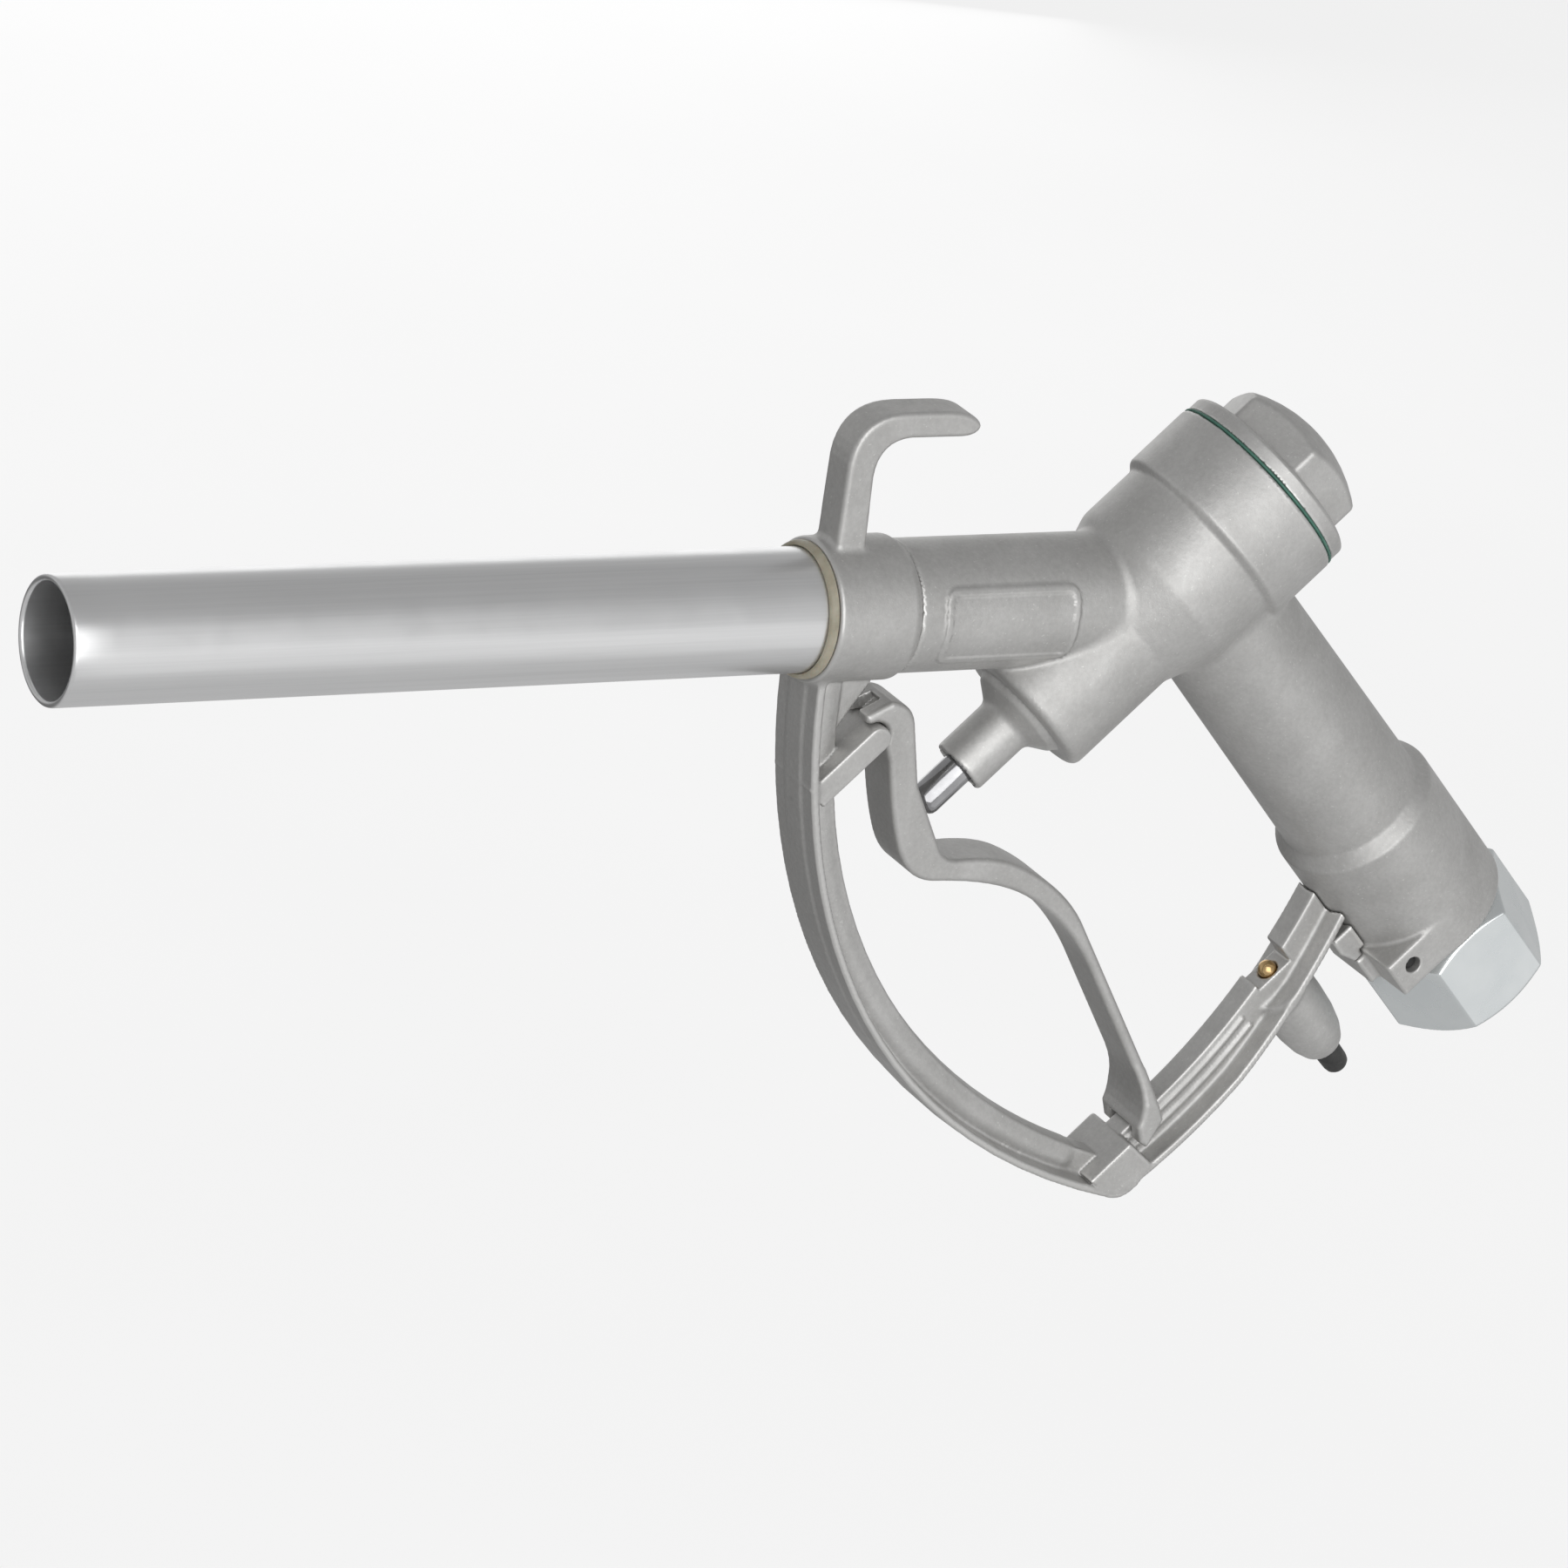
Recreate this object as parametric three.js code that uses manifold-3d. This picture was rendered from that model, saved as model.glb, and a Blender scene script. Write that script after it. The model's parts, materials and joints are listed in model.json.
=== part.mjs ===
// A manual fuel nozzle: an aluminium spout, a cast body with an inclined poppet valve, a cast guard
// with a hold-open latch, a squeeze lever and a swivelling hose connector.
//
// Design space, in millimetres: X runs along the spout from its tip, Z is up, and Y = 0 is the plane
// of symmetry. Four axes lie in that plane, and most pieces are turned about one of them. At the end
// the whole group is moved so that the centre of the hose connector's open face is the origin.
import * as THREE from "three";
import { mergeVertices } from "three/addons/utils/BufferGeometryUtils.js";
import Module from "manifold-3d";

const wasm = await Module();
wasm.setup();

// ---- driving dimensions ------------------------------------------------------------------------
const GAP = 0.3; // clearance kept between neighbouring pieces
const DIAGONAL = Math.SQRT1_2;

const SPOUT = { radius: 14.5, wall: 1.5, shoulder: 212, spigotRadius: 13, end: 232 };
const COLLAR = { radius: 16.9, start: 190, end: 212.2 };
const BARREL = { radius: 15.6, start: 212.5, bore: 11.5 };
const PAD = { from: 219, to: 255.5, halfHeight: 9.4, corner: 3.5, proud: 0.5 };

// Valve axis: crosses the spout's axis at valveX and rises 45 degrees towards the hose side.
const VALVE = { x: 283, upperRadius: 23, ringRadius: 24.8, ringStart: 18.4, ringEnd: 37.35 };
const CAP = { start: 38.65, flangeTop: 42.4, acrossFlats: 35.6, apex: 56.4, domeRadius: 33.6 };
const CHAMBER = { radius: 18.4, bottom: -39.8, bore: 15 };
const GLAND = { radius: 7, end: -59.8, pocket: 5.9 };
const STEM = { radius: 4, end: -72.8, top: 12.6 };
const SEAT = { radius: 16, hole: 12, halfHeight: 1.6 };

// Handle axis: crosses the spout's axis at handleX and falls 45 degrees towards the hose.
const HANDLE = { x: 300, topRadius: 17.4, radius: 18.3, end: 77, bore: 11.5 };
const SOCKET = { radius: 21, start: 83.5, end: 122, bore: 16.2, boreStart: 86 };
const LUG = { start: 111.1, halfWidth: 20.4, low: -21, toe: -23.8 };
const SWIVEL_PIN = { along: 115.95, offset: -15.1, radius: 1.9, halfLength: 18.2 };
const HEX = { acrossFlats: 39.3, start: 123, end: 149, inletRadius: 15.2, inletDepth: 18 };

// The lever turns on the rounded tip of the guard's strut, and the rear leg is an arc about it.
const PIVOT = { x: 211.85, z: -30.15 };
const STRUT = { halfThickness: 3.2, halfWidth: 9, length: 20 };
const GUARD = { halfWidth: 9, webHalf: 3.5, flange: 2.2, rearInner: 146.5, rearOuter: 158, taper: 3.2 };
const FOOT = { start: 103, bend: 107.8, end: 112.6, top: -17, bottom: -26, toe: -23.9 };
const SCREW = { along: 108.9, seat: -23, headRadius: 2.8, headHeight: 1.8 };
const CORNER = { peakX: 306.7, peakZ: -141.7 };
const LEVER = { halfWidth: 6.8, forkHalfWidth: 9, slotHalf: 5, swing: 22.5 };

// Latch axis: parallel to the handle's, starting where it crosses the rear leg's inner edge.
const LATCH = { x: 341.2, z: -99.3, pinRadius: 2.4, bossEnd: 35, pocket: 4.1 };

// ---- solids --------------------------------------------------------------------------------------
// A closed three.js geometry as a manifold solid.
function solid(geometry) {
  const bare = geometry.index ? geometry.toNonIndexed() : geometry.clone();
  bare.deleteAttribute("normal");
  bare.deleteAttribute("uv");
  const merged = mergeVertices(bare, 1e-3);
  const mesh = new wasm.Mesh({
    numProp: 3,
    vertProperties: merged.attributes.position.array,
    triVerts: new Uint32Array(merged.index.array),
  });
  return new wasm.Manifold(mesh);
}

// A manifold solid as a flat-shaded three.js geometry.
function geometryOf(shape) {
  const mesh = shape.getMesh();
  const indexed = new THREE.BufferGeometry()
    .setAttribute("position", new THREE.BufferAttribute(mesh.vertProperties, 3))
    .setIndex(new THREE.BufferAttribute(mesh.triVerts, 1));
  const flat = indexed.toNonIndexed();
  flat.computeVertexNormals();
  return flat;
}

// A body turned about Y from [radius, height] points, listed counterclockwise as seen with the
// radius to the right. A profile that doesn't touch the axis is closed on itself.
function turned(profile, segments = 32) {
  const points = profile.map(([radius, height]) => new THREE.Vector2(radius, height));
  const last = points[points.length - 1];
  if (points[0].x > 0 || last.x > 0) points.push(points[0].clone());
  return solid(new THREE.LatheGeometry(points, segments));
}

const rod = (radius, low, high, segments) =>
  turned([[0, low], [radius, low], [radius, high], [0, high]], segments);

const ring = (inner, outer, low, high, segments) =>
  turned([[inner, low], [outer, low], [outer, high], [inner, high]], segments);

function box(xs, ys, zs) {
  const middle = ([low, high]) => (low + high) / 2;
  const side = ([low, high]) => high - low;
  const block = new THREE.BoxGeometry(side(xs), side(ys), side(zs));
  return solid(block.translate(middle(xs), middle(ys), middle(zs)));
}

// An outline in the plane of symmetry, drawn as (x, z), with the given half width across it.
function slab(shape, halfWidth, curveSegments = 8) {
  const options = { depth: 2 * halfWidth, bevelEnabled: false, curveSegments };
  const plate = new THREE.ExtrudeGeometry(shape, options);
  return solid(plate.rotateX(Math.PI / 2).translate(0, halfWidth, 0));
}

const outline = (points) => new THREE.Shape(points.map(([x, z]) => new THREE.Vector2(x, z)));

// A coil spring about Y between two heights: one closed wire.
function coil(radius, wire, low, high, turns) {
  const steps = turns * 10;
  const points = [];
  for (let i = 0; i <= steps; i++) {
    const angle = (2 * Math.PI * turns * i) / steps;
    const height = low + wire + ((high - low - 2 * wire) * i) / steps;
    points.push(new THREE.Vector3(radius * Math.cos(angle), height, radius * Math.sin(angle)));
  }
  const section = new THREE.Shape().absarc(0, 0, wire, 0, 2 * Math.PI);
  const extrudePath = new THREE.CatmullRomCurve3(points);
  const options = { steps, extrudePath, bevelEnabled: false, curveSegments: 3 };
  return solid(new THREE.ExtrudeGeometry(section, options));
}

// A hexagonal prism about Y, with two flats facing +Z and -Z.
function hexPrism(acrossFlats, low, high) {
  const corner = acrossFlats / Math.sqrt(3);
  const prism = new THREE.CylinderGeometry(corner, corner, high - low, 6);
  return solid(prism.rotateY(Math.PI / 6).translate(0, (low + high) / 2, 0));
}

// The same prism with its corners chamfered at both ends.
function hexagon(acrossFlats, low, high, chamfer) {
  const corner = acrossFlats / Math.sqrt(3);
  const chamfered = turned([
    [0, low],
    [corner - chamfer, low],
    [corner, low + chamfer * 0.6],
    [corner, high - chamfer * 0.6],
    [corner - chamfer, high],
    [0, high],
  ]);
  return hexPrism(acrossFlats, low, high).intersect(chamfered);
}

// ---- axes ----------------------------------------------------------------------------------------
// A matrix that carries +Y to a direction in the plane of symmetry, and keeps +Z across it.
function axisAt(x, z, directionX, directionZ) {
  const along = new THREE.Vector3(directionX, 0, directionZ);
  const side = new THREE.Vector3(-directionZ, 0, directionX);
  const across = new THREE.Vector3(0, 1, 0);
  return new THREE.Matrix4().makeBasis(side, along, across).setPosition(x, 0, z);
}

const AXES = {
  spout: axisAt(0, 0, 1, 0),
  valve: axisAt(VALVE.x, 0, DIAGONAL, DIAGONAL),
  handle: axisAt(HANDLE.x, 0, DIAGONAL, -DIAGONAL),
  latch: axisAt(LATCH.x, LATCH.z, DIAGONAL, -DIAGONAL),
  strut: axisAt(PIVOT.x, PIVOT.z, DIAGONAL, DIAGONAL),
};

// A solid made about Y, moved onto an axis.
const onAxis = (name, shape) => shape.transform(AXES[name].elements);

// ---- body casting ----------------------------------------------------------------------------------
function valveHousing() {
  const neck = CHAMBER.bottom;
  return turned([
    [0, GLAND.end],
    [GLAND.radius - 1, GLAND.end],
    [GLAND.radius, GLAND.end + 2],
    [GLAND.radius, neck - 4.4],
    [11.6, neck - 1.6],
    [12.6, neck],
    [CHAMBER.radius - 3, neck],
    [CHAMBER.radius, neck + 3],
    [CHAMBER.radius, -10],
    [VALVE.upperRadius, 3],
    [VALVE.upperRadius, VALVE.ringStart],
    [VALVE.ringRadius, VALVE.ringStart + 1.5],
    [VALVE.ringRadius, VALVE.ringEnd],
    [0, VALVE.ringEnd],
  ]);
}

function valveBore() {
  const seatPocket = SEAT.halfHeight + GAP;
  const stemHole = STEM.radius + 0.2;
  return turned([
    [0, GLAND.end - 1],
    [GLAND.pocket, GLAND.end - 1],
    [GLAND.pocket, CHAMBER.bottom - 6],
    [stemHole, CHAMBER.bottom - 6],
    [stemHole, CHAMBER.bottom + 3],
    [CHAMBER.bore, CHAMBER.bottom + 3],
    [CHAMBER.bore, -seatPocket],
    [SEAT.radius + GAP, -seatPocket],
    [SEAT.radius + GAP, seatPocket],
    [18, seatPocket + 2],
    [18, 26],
    [20.8, 26],
    [20.8, VALVE.ringEnd + 1],
    [0, VALVE.ringEnd + 1],
  ]);
}

function handleTube() {
  return turned([
    [0, 0],
    [HANDLE.topRadius, 0],
    [HANDLE.radius, HANDLE.end],
    [SOCKET.radius, SOCKET.start],
    [SOCKET.radius, SOCKET.end],
    [0, SOCKET.end],
  ]);
}

function handleBore() {
  return turned([
    [0, 12],
    [HANDLE.bore, 12],
    [HANDLE.bore, SOCKET.boreStart],
    [SOCKET.bore, SOCKET.boreStart],
    [SOCKET.bore, SOCKET.end + 1],
    [0, SOCKET.end + 1],
  ]);
}

// The blank raised pad on both flanks of the barrel.
function barrelPads() {
  const { from, to, halfHeight: half, corner, proud } = PAD;
  const pad = new THREE.Shape()
    .moveTo(from + corner, -half)
    .lineTo(to - corner, -half)
    .absarc(to - corner, -half + corner, corner, -Math.PI / 2, 0)
    .absarc(to - corner, half - corner, corner, 0, Math.PI / 2)
    .absarc(from + corner, half - corner, corner, Math.PI / 2, Math.PI)
    .absarc(from + corner, -half + corner, corner, Math.PI, 1.5 * Math.PI);
  const shell = onAxis("spout", rod(BARREL.radius + proud, from - 1, to + 1));
  return slab(pad, BARREL.radius + proud, 3).intersect(shell);
}

// The lug under the socket: flat cheeks for the swivel pin, and a toe that meets the guard's foot.
function swivelLug() {
  const { start, halfWidth, low, toe } = LUG;
  const cheeks = box([low, 0], [start, SOCKET.end], [-halfWidth, halfWidth]);
  const block = box([toe, low + 1], [start + 2, SOCKET.end], [-GUARD.halfWidth, GUARD.halfWidth]);
  return onAxis("handle", cheeks.add(block));
}

// A cylinder that crosses the handle's axis at a right angle, towards its underside.
const crossRod = (radius, low, high, along) =>
  rod(radius, low, high, 16).rotate([0, 0, -90]).translate([0, along, 0]);

function bodyCasting() {
  const barrel = rod(BARREL.radius, BARREL.start, VALVE.x);
  const spigotBore = rod(SPOUT.spigotRadius + GAP, BARREL.start - 1, SPOUT.end + 1);
  const passage = rod(BARREL.bore, SPOUT.end, VALVE.x - 4);
  const pin = rod(SWIVEL_PIN.radius + 0.15, -30, 30, 16);
  const pinHole = pin.rotate([90, 0, 0]).translate([SWIVEL_PIN.offset, SWIVEL_PIN.along, 0]);
  const screwHole = crossRod(2.3, -30, -17, SCREW.along);
  return onAxis("spout", barrel)
    .add(barrelPads())
    .add(onAxis("valve", valveHousing()))
    .add(onAxis("handle", handleTube()))
    .add(swivelLug())
    .subtract(onAxis("spout", spigotBore.add(passage)))
    .subtract(onAxis("valve", valveBore()))
    .subtract(onAxis("handle", handleBore().add(pinHole).add(screwHole)));
}

// ---- guard casting ---------------------------------------------------------------------------------
// The front legs are cubic curves from the collar to the lowest point of the loop.
const FRONT_OUTER = [[192, -12], [193.9, -66.7], [221.7, -133.9], [304, -156.5]];
const FRONT_INNER = [[202, -12], [202.1, -82.8], [247.9, -129], [302, -147]];

const flatten = ([, b, c, d]) => [...b, ...c, ...d];
const polar = (radius, degrees) => {
  const angle = THREE.MathUtils.degToRad(degrees);
  return [PIVOT.x + radius * Math.cos(angle), PIVOT.z + radius * Math.sin(angle)];
};

// The closed band between the loop's outer edge and an inner edge. The rear leg narrows by "taper"
// towards the socket on its outer edge, and by "innerTaper" on its inner one.
function loopBand(frontInner, rearInner, innerTaper) {
  const { rearOuter, taper } = GUARD;
  const { x, z } = PIVOT;
  const [low, bend, pull, top] = [-50.5, -38, -29, -18.4];
  const radians = THREE.MathUtils.degToRad;
  const [a, b, c, d] = frontInner;
  const shape = new THREE.Shape()
    .moveTo(...FRONT_OUTER[0])
    .bezierCurveTo(...flatten(FRONT_OUTER))
    .quadraticCurveTo(309, -157.6, ...polar(rearOuter, low))
    .absarc(x, z, rearOuter, radians(low), radians(bend))
    .quadraticCurveTo(...polar(rearOuter, pull), ...polar(rearOuter - taper, top))
    .lineTo(...polar(rearInner - innerTaper, top));
  if (innerTaper) shape.quadraticCurveTo(...polar(rearInner, pull), ...polar(rearInner, bend));
  const from = innerTaper ? bend : top;
  return shape
    .absarc(x, z, rearInner, radians(from), radians(low + 2), true)
    .lineTo(...d)
    .bezierCurveTo(...c, ...b, ...a);
}

// The hook that hangs the nozzle up: a bar that leaves the collar and bends back over the barrel.
function hook() {
  const shape = new THREE.Shape()
    .moveTo(193, 12)
    .lineTo(192, 37)
    .quadraticCurveTo(192.6, 49.4, 206, 49.4)
    .lineTo(216, 49.4)
    .quadraticCurveTo(224, 49.3, 225.6, 45.9)
    .quadraticCurveTo(225.4, 43.2, 220.5, 43.2)
    .lineTo(207.5, 43.2)
    .quadraticCurveTo(199.2, 42.6, 199.2, 34)
    .lineTo(201, 12);
  return slab(shape, 5, 5);
}

// The thin web between the collar, the front leg and the strut.
function frontWeb() {
  const corners = [[198, -12], [211, -12], [211, -18.5], [204, -30], [196, -42]];
  return slab(outline(corners), 1.5);
}

function strut() {
  const { halfThickness: half, halfWidth, length } = STRUT;
  const bar = box([-half, half], [-length, 0], [-halfWidth, halfWidth]);
  const tip = rod(half, -halfWidth, halfWidth, 20).rotate([90, 0, 0]);
  return onAxis("strut", bar.add(tip));
}

// The block in the corner of the loop, full width, where the lever's end comes to rest.
function cornerBlock() {
  const { peakX, peakZ } = CORNER;
  const points = [[297, -151.4], [peakX, peakZ], [314.6, -148], [311, -154], [303, -155.5]];
  return slab(outline(points), GUARD.halfWidth);
}

function latchBoss() {
  return turned([
    [0, 8.2],
    [8.2, 8.2],
    [8.2, 17],
    [7.7, 24],
    [6.6, 30],
    [5.4, LATCH.bossEnd - 1],
    [4.8, LATCH.bossEnd],
    [0, LATCH.bossEnd],
  ], 24);
}

function latchBore() {
  const hole = LATCH.pinRadius + 0.2;
  return turned([
    [0, 0],
    [hole, 0],
    [hole, 12],
    [LATCH.pocket, 12],
    [LATCH.pocket, LATCH.bossEnd + 1],
    [0, LATCH.bossEnd + 1],
  ], 24);
}

// The foot of the rear leg lies along the underside of the socket and stops short of the lug.
function guardFoot() {
  const { start, bend, end, top, bottom, toe } = FOOT;
  const shoulder = LUG.start - GAP;
  const under = LUG.low - GAP - 0.1;
  const upper = [[under, end], [under, shoulder], [top, shoulder], [top, start]];
  const side = outline([[bottom, start], [bottom, bend], [toe, end], ...upper]);
  return slab(side, GUARD.halfWidth).rotate([-90, 0, 0]);
}

function guardCasting() {
  const collar = ring(SPOUT.radius + GAP, COLLAR.radius, COLLAR.start, COLLAR.end);
  const collarHole = rod(SPOUT.radius + GAP, COLLAR.start - 1, COLLAR.end + 1);
  const flangeInner = FRONT_OUTER.map(([x, z], i) => [x + [2.2, 2.2, 1.4, 0.6][i], z + [0, 0, 1.7, 2.1][i]]);
  const web = slab(loopBand(FRONT_INNER, GUARD.rearInner, 0), GUARD.webHalf, 14);
  const flangeBand = loopBand(flangeInner, GUARD.rearOuter - GUARD.flange, GUARD.taper);
  const flange = slab(flangeBand, GUARD.halfWidth, 14);
  const foot = onAxis("handle", guardFoot());
  const socketRoom = rod(SOCKET.radius + GAP, HANDLE.end - 6, SOCKET.end);
  const notch = box([-5.2, 5.2], [-6, 3], [-GUARD.halfWidth, GUARD.halfWidth]);
  const counterbore = crossRod(SCREW.headRadius + GAP, -30, SCREW.seat, SCREW.along);
  const screwHole = crossRod(2.4, -30, -17, SCREW.along).add(counterbore);
  return onAxis("spout", collar)
    .add(web)
    .add(flange)
    .add(hook())
    .add(frontWeb())
    .add(strut())
    .add(cornerBlock())
    .add(onAxis("latch", latchBoss()))
    .add(foot)
    .subtract(onAxis("spout", collarHole))
    .subtract(onAxis("handle", socketRoom.add(screwHole)))
    .subtract(onAxis("latch", latchBore().add(notch)));
}

// ---- lever -----------------------------------------------------------------------------------------
// A bar that hooks over the strut's tip, drops to the stem, sweeps out under the fingers and ends in
// a fork that straddles the guard's web.
function lever() {
  const seat = STRUT.halfThickness + GAP;
  const { x, z } = PIVOT;
  const radians = THREE.MathUtils.degToRad;
  const shape = new THREE.Shape()
    .moveTo(208.4, -24.8)
    .lineTo(208.9, -26.6)
    .absarc(x, z, seat, radians(119), radians(-30), true)
    .lineTo(217.2, -37)
    .quadraticCurveTo(220.2, -50, 223.4, -57.5)
    .quadraticCurveTo(227.6, -68.4, 237, -68.5)
    .quadraticCurveTo(258, -69.2, 268, -77)
    .quadraticCurveTo(277.2, -82.4, 285.4, -94)
    .lineTo(305.4, -123.8)
    .quadraticCurveTo(310, -131.4, 308.2, -138)
    .lineTo(309.7, -142.1)
    .lineTo(312.1, -143.6)
    .lineTo(315.3, -136)
    .lineTo(308.7, -123.3)
    .lineTo(280.6, -81.6)
    .quadraticCurveTo(273, -71.4, 258.7, -65.4)
    .quadraticCurveTo(252, -62.8, 242.5, -63.2)
    .quadraticCurveTo(238.2, -63.4, 236, -60.2)
    .lineTo(226.4, -43.2)
    .lineTo(222.6, -28.6)
    .quadraticCurveTo(221.4, -22.2, 215.1, -21.6)
    .lineTo(208.4, -24.8);
  const { halfWidth, forkHalfWidth: fork, slotHalf } = LEVER;
  const widths = [[-halfWidth, -10], [-halfWidth, -121], [-fork, -132], [-fork, -160]];
  const front = outline([...widths, ...widths.map(([y, height]) => [-y, height]).reverse()]);
  const depth = 140;
  const plan = new THREE.ExtrudeGeometry(front, { depth, bevelEnabled: false });
  const envelope = solid(plan.rotateX(Math.PI / 2).rotateZ(Math.PI / 2).translate(190, 0, 0));
  const reach = new THREE.CylinderGeometry(170, 170, 2 * slotHalf, 96).translate(x, 0, z);
  const kept = new THREE.CylinderGeometry(145.6, 145.6, 4 * slotHalf, 96).translate(x, 0, z);
  const forkSlot = solid(reach).subtract(solid(kept));
  const closed = box([2, 14], [-12, 7], [-2.2, 2.2]);
  const webSlot = onAxis("strut", closed.add(closed.rotate([0, 0, -LEVER.swing])));
  return slab(shape, fork, 6).intersect(envelope).subtract(forkSlot).subtract(webSlot);
}

// ---- spout and its fittings --------------------------------------------------------------------------
function spoutTube() {
  const { radius, wall, shoulder, spigotRadius, end } = SPOUT;
  const bore = radius - wall;
  return turned([
    [bore, 0.5],
    [bore + 0.5, 0],
    [radius - 0.5, 0],
    [radius, 0.5],
    [radius, shoulder],
    [spigotRadius, shoulder],
    [spigotRadius, end],
    [spigotRadius - 1.5, end],
    [spigotRadius - 1.5, shoulder - 8],
    [bore, shoulder - 10],
  ], 40);
}

const spoutGasket = () => ring(SPOUT.radius + GAP, COLLAR.radius - 0.5, 188.2, COLLAR.start - GAP);

// ---- valve train -------------------------------------------------------------------------------------
// The cap's crown is a hexagon whose top is cut to a large dome.
function valveCap() {
  const { start, flangeTop, acrossFlats, apex, domeRadius } = CAP;
  const plug = turned([
    [12.5, 27],
    [20.4, 27],
    [20.4, start],
    [24.4, start],
    [24.4, flangeTop - 1],
    [23.4, flangeTop],
    [0, flangeTop],
    [0, 41.6],
    [12.5, 41.6],
  ]);
  const height = (radius) => apex - domeRadius + Math.sqrt(domeRadius ** 2 - radius ** 2);
  const dome = [21, 18, 15, 12, 9, 6, 3, 0].map((radius) => [radius, height(radius)]);
  const crown = hexPrism(acrossFlats, flangeTop - 0.4, apex).intersect(turned([[0, 41], [21, 41], ...dome]));
  return plug.add(crown);
}

const capRing = () => ring(20.9, VALVE.ringRadius, VALVE.ringEnd + GAP, CAP.start - GAP);

const mainSpring = () => coil(9.5, 0.9, 8, 41.3, 6);

const valveSeat = () =>
  turned([[SEAT.hole, -SEAT.halfHeight], [SEAT.radius, -SEAT.halfHeight],
    [SEAT.radius, SEAT.halfHeight], [SEAT.hole + 1, SEAT.halfHeight]]);

const poppetSeal = () => ring(6, 15, 1.9, 3.7);

const poppetDisc = () =>
  turned([[STEM.radius + 0.2, 4], [15, 4], [15, 6], [11, 7.6], [STEM.radius + 0.2, 7.6]]);

const poppetNut = () => hexagon(12, 7.9, 11.6, 0.8).subtract(rod(STEM.radius + 0.2, 7, 12, 16));

function valveStem() {
  const { radius, end, top } = STEM;
  return turned([
    [0, end],
    [radius * 0.5, end + 0.5],
    [radius * 0.85, end + 1.7],
    [radius, end + 3.4],
    [radius, top - 0.6],
    [radius - 0.6, top],
    [0, top],
  ], 24);
}

const stemCollar = (low, high) => ring(STEM.radius + 0.2, GLAND.pocket - 0.2, low, high, 24);

// ---- latch -------------------------------------------------------------------------------------------
function latchPin() {
  const radius = LATCH.pinRadius;
  return turned([
    [0, 0.6],
    [radius * 0.6, 1.1],
    [radius, 3],
    [radius, 28],
    [3.9, 28],
    [3.9, 30],
    [radius - 0.8, 30],
    [radius - 0.8, 38],
    [0, 38],
  ], 20);
}

const latchSpring = () => coil(3.3, 0.4, 12.3, 27.7, 5);

function latchButton() {
  const hole = LATCH.pinRadius - 0.5;
  return turned([
    [hole, 30.4],
    [3.4, 30.4],
    [3.4, 41.4],
    [2.4, 43],
    [0, 43],
    [0, 38.4],
    [hole, 38.4],
  ], 20);
}

const latchRetainer = () => ring(3.6, LATCH.pocket - 0.1, 32, 33, 20);

// ---- hose end ----------------------------------------------------------------------------------------
function swivelConnector() {
  const { along, offset, radius: pin } = SWIVEL_PIN;
  const spindle = SOCKET.bore - 0.4;
  const groove = -offset - pin - GAP;
  const sealGroove = 13.4;
  const flow = 10.8;
  const step = HEX.end - HEX.inletDepth;
  const shank = turned([
    [flow, 88],
    [spindle - 1, 88],
    [spindle, 89],
    [spindle, 96],
    [sealGroove, 96],
    [sealGroove, 99.4],
    [spindle, 99.4],
    [spindle, along - 2.4],
    [groove, along - 2.4],
    [groove, along + 2.4],
    [spindle, along + 2.4],
    [spindle, HEX.start + 2],
    [flow, HEX.start + 2],
  ]);
  const bore = turned([
    [0, HEX.start - 2],
    [flow, HEX.start - 2],
    [flow, step],
    [HEX.inletRadius, step],
    [HEX.inletRadius, HEX.end - 1.2],
    [HEX.inletRadius + 1.2, HEX.end + 0.1],
    [0, HEX.end + 0.1],
  ]);
  const nut = hexagon(HEX.acrossFlats, HEX.start, HEX.end, 2.2);
  return nut.add(shank).subtract(bore);
}

const swivelSeal = () => ring(13.6, SOCKET.bore - 0.1, 96.4, 99);

const swivelPin = () => rod(SWIVEL_PIN.radius, -SWIVEL_PIN.halfLength, SWIVEL_PIN.halfLength, 16);

function inletStrainer() {
  const step = HEX.end - HEX.inletDepth;
  return turned([
    [0, 104],
    [9.2, 104],
    [10.2, step + GAP],
    [14.8, step + GAP],
    [14.8, step + 1.3],
    [9.6, step + 1.3],
    [8.6, 104.8],
    [0, 104.8],
  ]);
}

const inletGasket = () => {
  const step = HEX.end - HEX.inletDepth;
  return ring(11.4, 14.8, step + 1.6, step + 4);
};

// The recessed screw that holds the guard's foot to the socket.
function guardScrew() {
  const { headRadius, headHeight } = SCREW;
  const socket = new THREE.CylinderGeometry(1.6, 1.6, 2, 6).translate(0, -headHeight, 0);
  return rod(2, 0, 5.8, 16).add(rod(headRadius, -headHeight, 0.01, 16)).subtract(solid(socket));
}

// ---- the assembly ------------------------------------------------------------------------------------
const surface = (color, roughness, metalness) =>
  new THREE.MeshStandardMaterial({ color, roughness, metalness });

const MATERIALS = {
  casting: () => surface(0xb4b2ae, 0.6, 0.75),
  spout: () => surface(0xc4c5c6, 0.35, 0.9),
  zinc: () => surface(0xc6cdd0, 0.28, 0.9),
  steel: () => surface(0xb9babc, 0.2, 1),
  brass: () => surface(0xc9a15a, 0.3, 1),
  greenRubber: () => surface(0x3f7d66, 0.6, 0),
  blackRubber: () => surface(0x2c2c2c, 0.7, 0),
  sealant: () => surface(0x86806c, 0.7, 0),
};

const nozzle = new THREE.Group();
nozzle.name = "fuel_nozzle";

// An empty group whose +Y is the named axis, for the pieces that are turned about it.
function axisGroup(name) {
  const group = new THREE.Group();
  group.applyMatrix4(AXES[name]);
  nozzle.add(group);
  return group;
}

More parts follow.
